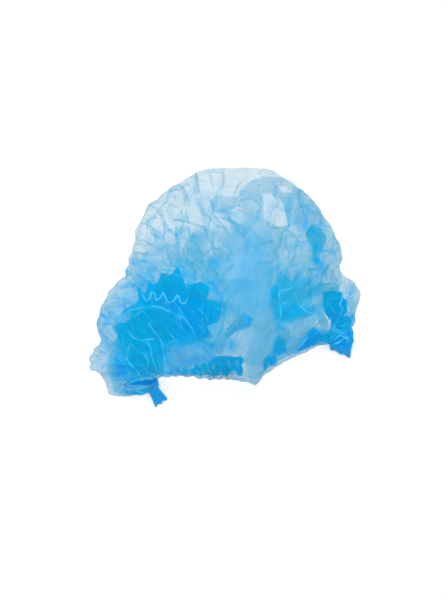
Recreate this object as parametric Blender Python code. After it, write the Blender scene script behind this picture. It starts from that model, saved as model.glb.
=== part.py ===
"""Disposable bouffant hairnet, lying opened on a table with its face opening towards -Y.

One square of light non-woven cloth is gathered along two edges by elastic threads and welded
into a short tab at both ends.  The cloth lies as a puffed bag: a domed upper layer, a rounded
fold all round the outline, a lower layer flat on the table, and the back edge turned up inside.
Metres, +Z up, origin on the table under the middle of the bounding box.
"""

import math
from collections import namedtuple

import bmesh
import bpy
import numpy as np
from mathutils import Vector

# Sizes of the whole cap as it lies
CAP_WIDTH = 0.258
CAP_DEPTH = 0.226
PUFF_HEIGHT = 0.078
RIM_HEIGHT = 0.052
EDGE_HEIGHT = 0.012

# The back edge turned up inside
TUCK_HEIGHT = 0.0085
TUCK_REACH = 0.070
TUCK_SLOPE = 0.06
TUCK_ROOM = 0.30

# Cloth, hems, threads and the room between pieces
CLOTH_WALL = 0.0012
HEM_WALL = 0.0018
HEM_WIDTH = 0.007
ELASTIC_DIAMETER = 0.0016
GAP = 0.0004
THREAD_CLEARANCE = 0.0005

# Gathers that the elastic pulls into the cloth, and the folds left from packing
GATHER_COUNT = 38
GATHER_DEPTH = 0.0032
GATHER_REACH = 0.042
GATHER_LEFT = 0.22
RUFFLE_DEPTH = 0.0024
PACKING_FOLD_DEPTH = 0.0016
PUFF_SWELL = 0.0030

# Welded tabs: pleats pressed into a strip
LEFT_TAB_LENGTH = 0.0180
LEFT_TAB_WIDTH = 0.0135
RIGHT_TAB_LENGTH = 0.0170
RIGHT_TAB_WIDTH = 0.0200
TAB_HEIGHT = 0.0165
TAB_RIBS = 5
RIB_DEPTH = 0.0009

# Rows of cloth from the front hem, over the top and under, to the back hem
TOP_ROWS = 10
FLOOR_ROWS = 7
TURN_ROWS = 2
TUCK_ROWS = 3
HEM_ROWS = 2

COLUMNS = 2 * GATHER_COUNT + 1

# The front edge from the left tab to the right: shares of the hem, of the width and depth from
# the middle, and of the rim's height
Rim = namedtuple("Rim", "along across deep high")
RIM = [
    Rim(0.000, -0.256, -0.406, 0.28),
    Rim(0.030, -0.293, -0.414, 0.28),
    Rim(0.060, -0.335, -0.423, 0.28),
    Rim(0.085, -0.361, -0.413, 0.29),
    Rim(0.115, -0.347, -0.396, 0.32),
    Rim(0.150, -0.311, -0.391, 0.37),
    Rim(0.200, -0.251, -0.384, 0.46),
    Rim(0.300, -0.166, -0.371, 0.68),
    Rim(0.420, -0.066, -0.381, 0.90),
    Rim(0.550, 0.031, -0.387, 1.00),
    Rim(0.640, 0.083, -0.400, 0.98),
    Rim(0.680, 0.115, -0.409, 0.94),
    Rim(0.720, 0.144, -0.373, 0.88),
    Rim(0.800, 0.209, -0.322, 0.72),
    Rim(0.880, 0.284, -0.281, 0.50),
    Rim(0.950, 0.343, -0.250, 0.34),
    Rim(1.000, 0.382, -0.243, 0.28),
]

# The fold round the outline, from the left tab over the top to the right tab
Outline = namedtuple("Outline", "along across deep")
OUTLINE = [
    Outline(0.000, -0.294, -0.448),
    Outline(0.030, -0.334, -0.458),
    Outline(0.060, -0.378, -0.465),
    Outline(0.085, -0.418, -0.453),
    Outline(0.115, -0.438, -0.417),
    Outline(0.150, -0.448, -0.364),
    Outline(0.190, -0.500, -0.322),
    Outline(0.220, -0.482, -0.264),
    Outline(0.245, -0.456, -0.232),
    Outline(0.280, -0.470, -0.160),
    Outline(0.300, -0.463, -0.113),
    Outline(0.330, -0.433, -0.041),
    Outline(0.360, -0.404, 0.014),
    Outline(0.385, -0.370, 0.044),
    Outline(0.420, -0.348, 0.137),
    Outline(0.460, -0.326, 0.226),
    Outline(0.490, -0.311, 0.297),
    Outline(0.530, -0.240, 0.386),
    Outline(0.570, -0.162, 0.443),
    Outline(0.610, -0.077, 0.490),
    Outline(0.650, 0.031, 0.498),
    Outline(0.690, 0.154, 0.500),
    Outline(0.730, 0.250, 0.452),
    Outline(0.770, 0.321, 0.362),
    Outline(0.810, 0.384, 0.243),
    Outline(0.850, 0.428, 0.154),
    Outline(0.885, 0.430, 0.061),
    Outline(0.915, 0.469, 0.023),
    Outline(0.940, 0.500, -0.028),
    Outline(0.965, 0.484, -0.105),
    Outline(0.985, 0.474, -0.158),
    Outline(1.000, 0.442, -0.190),
]

# How the cloth rises and folds on the way from rim to outline and back: the crest's height and
# place, the height of the outline's fold, where the lower layer turns up and how far it runs back
Fold = namedtuple("Fold", "along crest crest_at edge turn_at tuck")
FOLDS = [
    Fold(0.00, 0.22, 0.35, 0.60, 0.04, 0.00),
    Fold(0.03, 0.23, 0.40, 0.65, 0.04, 0.00),
    Fold(0.06, 0.25, 0.42, 0.70, 0.04, 0.00),
    Fold(0.10, 0.29, 0.42, 0.80, 0.04, 0.04),
    Fold(0.15, 0.36, 0.40, 0.90, 0.05, 0.20),
    Fold(0.20, 0.50, 0.42, 1.00, 0.05, 0.48),
    Fold(0.30, 0.72, 0.42, 1.00, 0.04, 0.80),
    Fold(0.36, 0.82, 0.41, 0.92, 0.03, 1.00),
    Fold(0.45, 0.92, 0.40, 0.85, 0.03, 1.00),
    Fold(0.57, 1.00, 0.38, 0.80, 0.03, 0.90),
    Fold(0.63, 1.00, 0.38, 0.80, 0.08, 0.60),
    Fold(0.68, 0.99, 0.38, 0.80, 0.08, 0.45),
    Fold(0.73, 0.94, 0.38, 0.84, 0.05, 0.50),
    Fold(0.80, 0.84, 0.38, 0.92, 0.05, 0.55),
    Fold(0.88, 0.60, 0.40, 1.00, 0.05, 0.40),
    Fold(0.94, 0.38, 0.40, 0.85, 0.05, 0.12),
    Fold(1.00, 0.22, 0.35, 0.60, 0.04, 0.00),
]

# The broad smooth fold that runs down the middle of the upper layer
SMOOTH_FOLD_AT = 0.665
SMOOTH_FOLD_SPREAD = 0.050
SMOOTH_FOLD_RISE = 0.0045

# Pressed strip of a tab, from the cloth outwards: shares of its length, width and height, and how
# far it bends to its left as a share of its length
TabStation = namedtuple("TabStation", "along width height bend")
LEFT_TAB = [
    TabStation(0.00, 1.00, 1.00, 0.00),
    TabStation(0.16, 0.92, 0.82, 0.00),
    TabStation(0.42, 0.66, 0.44, -0.03),
    TabStation(0.70, 0.72, 0.30, -0.10),
    TabStation(1.00, 0.88, 0.20, -0.20),
]
RIGHT_TAB = [
    TabStation(0.00, 1.00, 1.00, 0.00),
    TabStation(0.20, 0.96, 0.76, 0.00),
    TabStation(0.50, 0.86, 0.46, 0.02),
    TabStation(0.78, 0.80, 0.32, 0.03),
    TabStation(1.00, 0.78, 0.24, 0.03),
]


def clear_scene():
    for old in list(bpy.data.objects):
        bpy.data.objects.remove(old)


def material(name, color, roughness):
    made = bpy.data.materials.new(name)
    made.use_nodes = True
    shader = made.node_tree.nodes["Principled BSDF"]
    shader.inputs["Base Color"].default_value = (*color, 1.0)
    shader.inputs["Roughness"].default_value = roughness
    return made


def smooth(rows, column, at):
    """A column of a table as a smooth curve over its first column, read at the given places."""
    knots = np.array([row.along for row in rows])
    values = np.array([getattr(row, column) for row in rows])
    slopes = np.gradient(values, knots)
    low = np.clip(np.searchsorted(knots, at, side="right") - 1, 0, len(knots) - 2)
    span = knots[low + 1] - knots[low]
    u = (at - knots[low]) / span
    start = (1 + 2 * u) * (1 - u) ** 2 * values[low] + u * (1 - u) ** 2 * span * slopes[low]
    end = u**2 * (3 - 2 * u) * values[low + 1] + u**2 * (u - 1) * span * slopes[low + 1]
    return start + end


def ease(value):
    value = np.clip(value, 0.0, 1.0)
    return value * value * (3 - 2 * value)


def section(width, rim, crest, crest_at, edge, turn_at, tuck):
    """One cut through the cloth's outer face as (distance from the rim, height) points, with the
    arc lengths at which the outline's fold lies and the lower layer's turn starts and ends."""
    rise = np.linspace(0, 1, 24)
    quarter = np.linspace(0, math.pi / 2, 30)[1:]
    half = np.linspace(0, math.pi, 16)[1:]
    crest_out = crest_at * width
    turn = TUCK_HEIGHT / 2
    turn_out = turn_at * width + turn
    room = width - turn_out - CLOTH_WALL * 2 - TUCK_ROOM * edge
    reach = min(HEM_WIDTH + tuck * TUCK_REACH, room)
    lifted = TUCK_HEIGHT * (1 + TUCK_SLOPE) + tuck * TUCK_SLOPE * TUCK_REACH
    parts = [
        (crest_out * rise, rim + (crest - rim) * np.sin(rise * math.pi / 2)),
        (
            crest_out + (width - crest_out) * np.sin(quarter),
            edge + (crest - edge) * np.cos(quarter),
        ),
        (width - edge * (1 - np.cos(quarter)), edge * (1 - np.sin(quarter))),
        (np.array([turn_out]), np.array([0.0])),
        (turn_out - turn * np.sin(half), turn * (1 - np.cos(half))),
        (np.array([turn_out + reach]), np.array([lifted])),
    ]
    points = np.concatenate([np.stack(part, axis=1) for part in parts])
    steps = np.linalg.norm(np.diff(points, axis=0), axis=1)
    arcs = np.concatenate([[0.0], np.cumsum(steps)])
    counts = np.cumsum([len(part[0]) for part in parts])
    return points, arcs, [arcs[counts[part] - 1] for part in (1, 3, 4)]


def row_arcs(whole, at_edge, at_turn, at_turned):
    """Arc lengths of the rows of cloth: front hem, crown and back hem."""
    hem = min(HEM_WIDTH, 0.5 * (whole - at_turned))
    in_hem = np.linspace(0, 1, HEM_ROWS + 1)
    over = np.linspace(0, 1, TOP_ROWS + 1)
    under = np.linspace(0, 1, FLOOR_ROWS + 1)[1:]
    turn = np.linspace(0, 1, TURN_ROWS + 1)[1:]
    back = np.linspace(0, 1, TUCK_ROWS + 1)[1:]
    first, last = HEM_WIDTH + GAP, whole - hem - GAP
    over = 1 - (1 - over) ** 1.3
    under = 0.5 * under + 0.25 * (1 - np.cos(math.pi * under))
    crown = np.concatenate(
        [
            first + (at_edge - first) * over,
            at_edge + (at_turn - at_edge) * under,
            at_turn + (at_turned - at_turn) * turn,
            at_turned + (last - at_turned) * back**0.6,
        ]
    )
    return HEM_WIDTH * in_hem, crown, whole - hem + hem * in_hem


def base_cloth():
    """The outer face before gathers: an array [column, row, xyz], each row's arc length from the
    nearer hem, and the number of rows in each piece."""
    along = np.linspace(0, 1, COLUMNS)
    rim = np.stack(
        [smooth(RIM, "across", along) * CAP_WIDTH, smooth(RIM, "deep", along) * CAP_DEPTH], axis=1
    )
    out = np.stack(
        [
            smooth(OUTLINE, "across", along) * CAP_WIDTH,
            smooth(OUTLINE, "deep", along) * CAP_DEPTH,
        ],
        axis=1,
    )
    widths = np.linalg.norm(out - rim, axis=1)
    away = (out - rim) / widths[:, None]
    columns, from_hem = [], []
    for i, place in enumerate(along):
        points, arcs, marks = section(
            widths[i],
            smooth(RIM, "high", place) * RIM_HEIGHT,
            smooth(FOLDS, "crest", place) * PUFF_HEIGHT,
            smooth(FOLDS, "crest_at", place),
            smooth(FOLDS, "edge", place) * EDGE_HEIGHT,
            smooth(FOLDS, "turn_at", place),
            smooth(FOLDS, "tuck", place),
        )
        rows = np.concatenate(row_arcs(arcs[-1], *marks))
        distance = np.interp(rows, arcs, points[:, 0])
        height = np.interp(rows, arcs, points[:, 1])
        plan = rim[i] + away[i] * distance[:, None]
        columns.append(np.column_stack([plan, height]))
        from_hem.append(np.minimum(rows, arcs[-1] - rows))
    return np.array(columns), np.array(from_hem), along


def root_of(grid, end):
    """The middle of an end of the cloth in plan, on the table, and the way that its tab points:
    square to the end, away from the middle of the cloth."""
    fold_row = HEM_ROWS + 1 + TOP_ROWS
    places = ((end, 0), (end, fold_row), (COLUMNS // 2, fold_row))
    rim, fold, inside = (Vector((*grid[place][:2], 0.0)) for place in places)
    out = (fold - rim).cross(Vector((0, 0, 1))).normalized()
    middle = (rim + fold) / 2
    return middle, out if out.dot(middle - inside) > 0 else -out


def unit(vectors):
    return vectors / np.maximum(np.linalg.norm(vectors, axis=-1, keepdims=True), 1e-9)


def tangents(grid, axis):
    """Mean directions of the edges before and after each point, whatever their lengths."""
    steps = unit(np.diff(grid, axis=axis))
    first, last = np.take(steps, [0], axis=axis), np.take(steps, [-1], axis=axis)
    before = np.concatenate([first, steps], axis=axis)
    return before + np.concatenate([steps, last], axis=axis)


def outward(grid):
    """Unit normals of the cloth, out of it.  Both sides of a seam share theirs, and those of an
    end lie in the end's own plane, so that hems and tabs meet the crown squarely."""
    normals = unit(np.cross(tangents(grid, 0), tangents(grid, 1)))
    for seam in (HEM_ROWS, -HEM_ROWS - 2):
        normals[:, seam : seam + 2] = normals[:, seam : seam + 2].mean(axis=1, keepdims=True)
    for end in (0, -1):
        out = np.array(root_of(grid, end)[1])
        normals[end] -= out * (normals[end] @ out)[:, None]
    return unit(normals)


def gathered_cloth(grid, from_hem, along):
    """How far the cloth's outer face moves out of the smooth form: gathers along both hems,
    ruffles round the outline, packing folds near the tabs, a few soft swells and the smooth fold
    down the middle.  Also how steep the gathers' sides are."""
    column = np.arange(COLUMNS)[:, None]
    row = np.arange(grid.shape[1])[None, :]
    from_tab = np.minimum(along, 1 - along)[:, None]
    band = np.exp(-(((along[:, None] - SMOOTH_FOLD_AT) / SMOOTH_FOLD_SPREAD) ** 4))
    steps = np.linalg.norm(np.gradient(grid, axis=0), axis=2)
    depth = np.minimum(GATHER_DEPTH, steps)
    fade = GATHER_LEFT + (1 - GATHER_LEFT) * np.exp(-((from_hem / GATHER_REACH) ** 2))
    uneven = 1 + 0.25 * np.sin(2.4 * column)
    gathers = depth * fade * uneven * (1 - 0.8 * band)
    edge_row = HEM_ROWS + 1 + TOP_ROWS
    ruffles = RUFFLE_DEPTH * uneven * np.exp(-(((row - edge_row) / 2.2) ** 2))
    tucked = row > edge_row + FLOOR_ROWS
    pleats = np.maximum(gathers, ruffles) * ease(from_tab / np.where(tucked, 0.16, 0.13))
    row_steps = np.linalg.norm(np.gradient(grid, axis=1), axis=2)
    packing = np.minimum(PACKING_FOLD_DEPTH, 0.3 * row_steps) * (row % 2)
    packing = packing * ease(from_tab / 0.06) * (1 - ease(from_tab / 0.22))
    packing = packing * ease(from_hem / (3 * HEM_WIDTH))
    swell = np.sin(23 * along[:, None] + 0.55 * row) * np.sin(0.42 * row)
    swell = PUFF_SWELL * swell * ease(from_hem / GATHER_REACH) * ease(from_tab / 0.15)
    swell = swell * (row < edge_row)
    raised = SMOOTH_FOLD_RISE * band * ease(from_hem / GATHER_REACH)
    moved = pleats * (column % 2) + packing + swell * (1 - band) + raised
    return moved, pleats / steps


def cloth_solid(name, outer, inner, finish):
    """A sheet of cloth between its outer and inner faces, closed along all four edges."""
    bm = bmesh.new()
    faces = [
        [[bm.verts.new(point) for point in column] for column in side]
        for side in (outer, inner)
    ]
    for side in faces:
        for left, right in zip(side, side[1:]):
            for low in range(len(left) - 1):
                bm.faces.new((left[low], left[low + 1], right[low + 1], right[low]))
    bmesh.ops.recalc_face_normals(bm, faces=bm.faces[:])
    edges = [edge for edge in bm.edges if edge.is_boundary]
    bmesh.ops.bridge_loops(bm, edges=edges)
    bmesh.ops.triangulate(bm, faces=bm.faces[:])
    bmesh.ops.recalc_face_normals(bm, faces=bm.faces[:])
    return finished(name, bm, finish)


def finished(name, bm, finish):
    mesh = bpy.data.meshes.new(name)
    bm.to_mesh(mesh)
    bm.free()
    made = bpy.data.objects.new(name, mesh)
    made.data.materials.append(finish)
    bpy.context.scene.collection.objects.link(made)
    return made


def elastic(name, hem_inner, normals, finish):
    """A thread along the inner side of a hem, clear of the gathers' inner creases and ending two
    creases short of each tab."""
    middle = hem_inner.shape[1] // 2
    radius = ELASTIC_DIAMETER / 2
    line = hem_inner[:, middle] - normals[:, middle] * (THREAD_CLEARANCE + radius)
    line = line[2:-2]
    curve = bpy.data.curves.new(name, "CURVE")
    curve.dimensions = "3D"
    curve.bevel_depth = radius
    curve.bevel_resolution = 1
    curve.use_fill_caps = True
    spline = curve.splines.new("POLY")
    spline.points.add(len(line) - 1)
    for point, place in zip(spline.points, line):
        point.co = (*place, 1.0)
    made = bpy.data.objects.new(name, curve)
    made.data.materials.append(finish)
    bpy.context.scene.collection.objects.link(made)
    return made


def tab_ring(bm, centre, side, width, height):
    """One ribbed cross-section of a tab, standing on the table."""
    ring = [bm.verts.new(centre - side * width / 2), bm.verts.new(centre + side * width / 2)]
    for i in range(2 * TAB_RIBS + 1):
        share = 0.5 - i / (2 * TAB_RIBS)
        top = height - (RIB_DEPTH if i % 2 else 0.0)
        ring.append(bm.verts.new(centre + side * width * share + Vector((0, 0, top))))
    return ring


def tab(name, root, stations, length, width, finish):
    """A welded tab: pleats pressed into a ribbed strip that lies on the table."""
    bm = bmesh.new()
    middle, out = root
    start = middle + out * GAP
    side = Vector((-out.y, out.x, 0.0))
    rings = []
    for station in stations:
        centre = start + length * (out * station.along + side * station.bend)
        rings.append(
            tab_ring(bm, centre, side, width * station.width, TAB_HEIGHT * station.height)
        )
    for near, far in zip(rings, rings[1:]):
        for i in range(len(near)):
            after = (i + 1) % len(near)
            bm.faces.new((near[i], near[after], far[after], far[i]))
    bm.faces.new(rings[0])
    bm.faces.new(list(reversed(rings[-1])))
    bmesh.ops.triangulate(bm, faces=bm.faces[:])
    bmesh.ops.recalc_face_normals(bm, faces=bm.faces[:])
    return finished(name, bm, finish)


def centre_on_table(objects):
    """Moves everything so that the origin lies on the table under the middle of the box."""
    bpy.context.view_layer.update()
    corners = [
        made.matrix_world @ Vector(corner) for made in objects for corner in made.bound_box
    ]
    low = Vector([min(corner[axis] for corner in corners) for axis in range(3)])
    high = Vector([max(corner[axis] for corner in corners) for axis in range(3)])
    shift = Vector((-(low.x + high.x) / 2, -(low.y + high.y) / 2, -low.z))
    for made in objects:
        made.location += shift


def main():
    clear_scene()
    cloth_blue = material("blue_cloth", (0.10, 0.42, 0.80), 0.85)
    hem_blue = material("blue_hem", (0.05, 0.34, 0.78), 0.80)
    weld_blue = material("blue_weld", (0.01, 0.22, 0.72), 0.70)
    thread_white = material("white_thread", (0.85, 0.90, 0.95), 0.60)

    grid, from_hem, along = base_cloth()
    normals = outward(grid)
    moved, steepness = gathered_cloth(grid, from_hem, along)
    outer = grid + normals * moved[:, :, None]
    outer[:, :, 2] = np.maximum(outer[:, :, 2], 0.0)
    slant = np.sqrt(1 + steepness**2)[:, :, None]
    hem = HEM_ROWS + 1
    parts = {
        "crown": (slice(hem, -hem), CLOTH_WALL, cloth_blue),
        "front_hem": (slice(None, hem), HEM_WALL, hem_blue),
        "back_hem": (slice(-hem, None), HEM_WALL, hem_blue),
    }
    made = []
    for name, (rows, wall, finish) in parts.items():
        inner = outer - normals * slant * wall
        inner[:, :, 2] = np.maximum(inner[:, :, 2], wall)
        made.append(cloth_solid(name, outer[:, rows], inner[:, rows], finish))
    creases = grid - normals * slant * HEM_WALL
    for name, rows in (("front_elastic", slice(None, hem)), ("back_elastic", slice(-hem, None))):
        made.append(elastic(name, creases[:, rows], normals[:, rows], thread_white))
    left, right = root_of(grid, 0), root_of(grid, -1)
    made.append(tab("left_tab", left, LEFT_TAB, LEFT_TAB_LENGTH, LEFT_TAB_WIDTH, weld_blue))
    made.append(tab("right_tab", right, RIGHT_TAB, RIGHT_TAB_LENGTH, RIGHT_TAB_WIDTH, weld_blue))
    centre_on_table(made)


main()
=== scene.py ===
# %% [markdown]
# # A disposable hairnet, lying opened on a table
# The real cap is one square of spunbond cloth, so thin that every layer shows through the next.
# It is pleated, gathered by elastic threads along two edges, and welded into a short tab at each
# end. What the eye reads is mostly how many layers lie over each other, so this lesson models
# the layers and folds themselves and lets a see-through cloth material add them up.

# %% Load the fixed frame
import math
import warnings
from collections import namedtuple

import bpy
import numpy as np
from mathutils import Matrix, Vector
from mathutils.bvhtree import BVHTree
from mathutils.geometry import delaunay_2d_cdt


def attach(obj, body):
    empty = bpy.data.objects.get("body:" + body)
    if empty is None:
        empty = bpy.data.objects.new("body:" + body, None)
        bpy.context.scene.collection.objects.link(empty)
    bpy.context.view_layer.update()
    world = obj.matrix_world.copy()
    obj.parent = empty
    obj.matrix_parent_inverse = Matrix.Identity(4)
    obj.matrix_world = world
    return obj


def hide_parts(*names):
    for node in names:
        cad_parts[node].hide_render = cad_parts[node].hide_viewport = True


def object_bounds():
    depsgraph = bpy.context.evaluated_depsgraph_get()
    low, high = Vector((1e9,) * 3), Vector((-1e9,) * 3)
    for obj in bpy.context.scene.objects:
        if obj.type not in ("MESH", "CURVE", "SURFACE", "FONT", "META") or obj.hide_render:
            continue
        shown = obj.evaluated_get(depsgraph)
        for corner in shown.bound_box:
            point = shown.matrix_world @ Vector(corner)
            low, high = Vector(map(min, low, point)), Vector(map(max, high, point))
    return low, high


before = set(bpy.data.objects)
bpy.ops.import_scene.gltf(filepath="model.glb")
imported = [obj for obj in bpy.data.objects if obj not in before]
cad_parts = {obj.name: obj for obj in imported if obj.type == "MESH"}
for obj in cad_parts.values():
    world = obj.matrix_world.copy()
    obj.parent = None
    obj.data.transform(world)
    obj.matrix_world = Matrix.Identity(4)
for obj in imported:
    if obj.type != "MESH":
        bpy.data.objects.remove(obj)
cad_box = [list(corner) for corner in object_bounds()]
print("frame:", sorted(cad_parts), "box (mm):", [[round(v * 1000) for v in c] for c in cad_box])

# %% [markdown]
# ## Where things are
# The photograph looks straight down. One of its points is 0.955 mm on the table, so a fold that
# is seen at a point of the picture can be placed on the table with one small function.

# %% From picture points to metres
POINT = 0.000955
PICTURE_X, PICTURE_Y = 224.5, 286.5
SHIFT_X, SHIFT_Y = 0.00111, -0.00185


def spot(x, y):
    return np.array([(x - PICTURE_X) * POINT + SHIFT_X, (PICTURE_Y - y) * POINT + SHIFT_Y])


def spots(*pairs):
    return np.array([spot(x, y) for x, y in pairs])


print("the picture's middle lies at", (spot(224, 300) * 1000).round(1), "mm")

# %% [markdown]
# ## The smooth form of the cap
# The cap is described the way it is made: by its front edge, by the fold round its outline, and
# by how the cloth rises and turns between the two. A few rows of numbers are joined by smooth
# curves, and each cut from the front edge outwards is one section of the bag.

# %% The cap's sizes and its tables
CAP_WIDTH, CAP_DEPTH = 0.258, 0.226
PUFF_HEIGHT, RIM_HEIGHT, EDGE_HEIGHT = 0.078, 0.052, 0.012
TUCK_HEIGHT, TUCK_REACH, TUCK_SLOPE, TUCK_ROOM = 0.0085, 0.070, 0.06, 0.30
CLOTH_WALL, HEM_WIDTH = 0.0012, 0.007

Rim = namedtuple("Rim", "along across deep high")
RIM = [Rim(*row) for row in (
    (0.000, -0.256, -0.406, 0.28), (0.030, -0.293, -0.414, 0.28), (0.060, -0.335, -0.423, 0.28),
    (0.085, -0.361, -0.413, 0.29), (0.115, -0.347, -0.396, 0.32), (0.150, -0.311, -0.391, 0.37),
    (0.200, -0.251, -0.384, 0.46), (0.300, -0.166, -0.371, 0.68), (0.420, -0.066, -0.381, 0.90),
    (0.550, 0.031, -0.384, 1.00), (0.640, 0.083, -0.394, 0.98), (0.680, 0.113, -0.403, 0.94),
    (0.720, 0.143, -0.368, 0.88), (0.800, 0.209, -0.317, 0.72), (0.880, 0.284, -0.281, 0.50),
    (0.950, 0.343, -0.250, 0.34), (1.000, 0.382, -0.243, 0.28),
)]
Outline = namedtuple("Outline", "along across deep")
OUTLINE = [Outline(*row) for row in (
    (0.000, -0.294, -0.448), (0.030, -0.334, -0.458), (0.060, -0.378, -0.465),
    (0.085, -0.418, -0.453), (0.115, -0.438, -0.420), (0.150, -0.453, -0.376),
    (0.190, -0.495, -0.334), (0.220, -0.482, -0.264), (0.245, -0.456, -0.232),
    (0.280, -0.470, -0.160), (0.300, -0.463, -0.113), (0.330, -0.433, -0.041),
    (0.360, -0.404, 0.014), (0.385, -0.370, 0.044), (0.420, -0.348, 0.137),
    (0.460, -0.326, 0.226), (0.490, -0.307, 0.285), (0.530, -0.237, 0.378),
    (0.570, -0.160, 0.438), (0.610, -0.077, 0.486), (0.650, 0.031, 0.495),
    (0.690, 0.150, 0.493), (0.730, 0.240, 0.438), (0.770, 0.321, 0.360),
    (0.810, 0.391, 0.249), (0.850, 0.428, 0.154), (0.885, 0.430, 0.061),
    (0.915, 0.469, 0.023), (0.940, 0.500, -0.028), (0.965, 0.484, -0.105),
    (0.985, 0.478, -0.160), (1.000, 0.447, -0.192),
)]
Fold = namedtuple("Fold", "along crest crest_at edge turn_at tuck")
FOLDS = [Fold(*row) for row in (
    (0.00, 0.22, 0.35, 0.60, 0.04, 0.00), (0.03, 0.23, 0.40, 0.65, 0.04, 0.00),
    (0.06, 0.25, 0.42, 0.70, 0.04, 0.00), (0.10, 0.29, 0.42, 0.80, 0.04, 0.04),
    (0.15, 0.36, 0.40, 0.90, 0.05, 0.20), (0.20, 0.50, 0.42, 1.00, 0.05, 0.48),
    (0.30, 0.72, 0.42, 1.00, 0.04, 0.80), (0.36, 0.82, 0.41, 0.92, 0.03, 1.00),
    (0.45, 0.92, 0.40, 0.85, 0.03, 1.00), (0.57, 1.00, 0.38, 0.80, 0.03, 0.90),
    (0.63, 1.00, 0.38, 0.80, 0.08, 0.60), (0.68, 0.99, 0.38, 0.80, 0.08, 0.45),
    (0.73, 0.94, 0.38, 0.84, 0.05, 0.50), (0.80, 0.84, 0.38, 0.92, 0.05, 0.55),
    (0.88, 0.60, 0.40, 1.00, 0.05, 0.40), (0.94, 0.38, 0.40, 0.85, 0.05, 0.12),
    (1.00, 0.22, 0.35, 0.60, 0.04, 0.00),
)]
print("tables:", len(RIM), "places on the front edge,", len(OUTLINE), "on the outline")


# %% Smooth curves through the tables
def through(knots, values, at):
    """A smooth curve that passes through the values, or the points, at their knots."""
    slopes = np.gradient(values, knots, axis=0)
    low = np.clip(np.searchsorted(knots, at, side="right") - 1, 0, len(knots) - 2)
    span = knots[low + 1] - knots[low]
    u = (at - knots[low]) / span
    if values.ndim > 1:
        span, u = span[:, None], u[:, None]
    start = (1 + 2 * u) * (1 - u) ** 2 * values[low] + u * (1 - u) ** 2 * span * slopes[low]
    end = u**2 * (3 - 2 * u) * values[low + 1] + u**2 * (u - 1) * span * slopes[low + 1]
    return start + end


def smooth(rows, column, at):
    """One column of a table, read at any place between its rows."""
    knots = np.array([row.along for row in rows])
    return through(knots, np.array([getattr(row, column) for row in rows]), at)


def length_along(line):
    """How far along a line each of its points lies."""
    steps = np.linalg.norm(np.diff(line, axis=0), axis=1)
    return np.concatenate([[0.0], np.cumsum(steps)])


def ease(value):
    """A soft step from 0 to 1."""
    value = np.clip(value, 0.0, 1.0)
    return value * value * (3 - 2 * value)


# %% One section, and the whole grid of the cloth
COLUMNS = 400
TOP_ROWS, FLOOR_ROWS, TURN_ROWS, TUCK_ROWS, HEM_ROWS = 156, 30, 6, 12, 5
RISE_POINTS, QUARTER_POINTS, HALF_POINTS = 40, 60, 20


def section(width, rim, crest, crest_at, edge, turn_at, tuck):
    """A section's points, their lengths along it, and where it passes the outline, the floor's
    end and the turned-up end."""
    rise = np.linspace(0, 1, RISE_POINTS)
    quarter = np.linspace(0, math.pi / 2, QUARTER_POINTS)[1:]
    half = np.linspace(0, math.pi, HALF_POINTS)[1:]
    crest_out = crest_at * width
    turn = TUCK_HEIGHT / 2
    turn_out = turn_at * width + turn
    room = width - turn_out - CLOTH_WALL * 2 - TUCK_ROOM * edge
    reach = min(HEM_WIDTH + tuck * TUCK_REACH, room)
    lifted = TUCK_HEIGHT * (1 + TUCK_SLOPE) + tuck * TUCK_SLOPE * TUCK_REACH
    parts = [
        (crest_out * rise, rim + (crest - rim) * np.sin(rise * math.pi / 2)),
        (crest_out + (width - crest_out) * np.sin(quarter), edge + (crest - edge) * np.cos(quarter)),
        (width - edge * (1 - np.cos(quarter)), edge * (1 - np.sin(quarter))),
        (np.array([turn_out]), np.array([0.0])),
        (turn_out - turn * np.sin(half), turn * (1 - np.cos(half))),
        (np.array([turn_out + reach]), np.array([lifted])),
    ]
    points = np.concatenate([np.stack(part, axis=1) for part in parts])
    arcs = length_along(points)
    counts = np.cumsum([len(part[0]) for part in parts])
    return points, arcs, [arcs[counts[part] - 1] for part in (1, 3, 4)]


def row_arcs(whole, at_edge, at_turn, at_turned):
    """How far along a section each row of the grid lies; the floor's rows are closer at its ends."""
    hem = min(HEM_WIDTH, 0.5 * (whole - at_turned))
    over = np.linspace(0, 1, TOP_ROWS + 1)
    under = np.linspace(0, 1, FLOOR_ROWS + 1)[1:]
    crown = np.concatenate([
        HEM_WIDTH + (at_edge - HEM_WIDTH) * over,
        at_edge + (at_turn - at_edge) * (0.5 * under + 0.25 * (1 - np.cos(math.pi * under))),
        at_turn + (at_turned - at_turn) * np.linspace(0, 1, TURN_ROWS + 1)[1:],
        at_turned + (whole - hem - at_turned) * np.linspace(0, 1, TUCK_ROWS + 1)[1:],
    ])
    band = np.linspace(0, 1, HEM_ROWS + 1)
    return np.concatenate([HEM_WIDTH * band[:-1], crown, whole - hem + hem * band[1:]])


along = np.linspace(0, 1, COLUMNS)
rim_line, out_line = (
    np.stack([smooth(rows, "across", along) * CAP_WIDTH + SHIFT_X,
              smooth(rows, "deep", along) * CAP_DEPTH + SHIFT_Y], axis=1)
    for rows in (RIM, OUTLINE)
)
widths = np.linalg.norm(out_line - rim_line, axis=1)
away = (out_line - rim_line) / widths[:, None]
columns, row_places = [], []
for i, place in enumerate(along):
    points, arcs, marks = section(
        widths[i],
        smooth(RIM, "high", place) * RIM_HEIGHT,
        smooth(FOLDS, "crest", place) * PUFF_HEIGHT,
        smooth(FOLDS, "crest_at", place),
        smooth(FOLDS, "edge", place) * EDGE_HEIGHT,
        smooth(FOLDS, "turn_at", place),
        smooth(FOLDS, "tuck", place),
    )
    rows = row_arcs(arcs[-1], *marks)
    plan = rim_line[i] + away[i] * np.interp(rows, arcs, points[:, 0])[:, None]
    columns.append(np.column_stack([plan, np.interp(rows, arcs, points[:, 1])]))
    row_places.append(np.stack([rows, arcs[-1] - rows, rows - marks[0]]))
base = np.array(columns)
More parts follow.
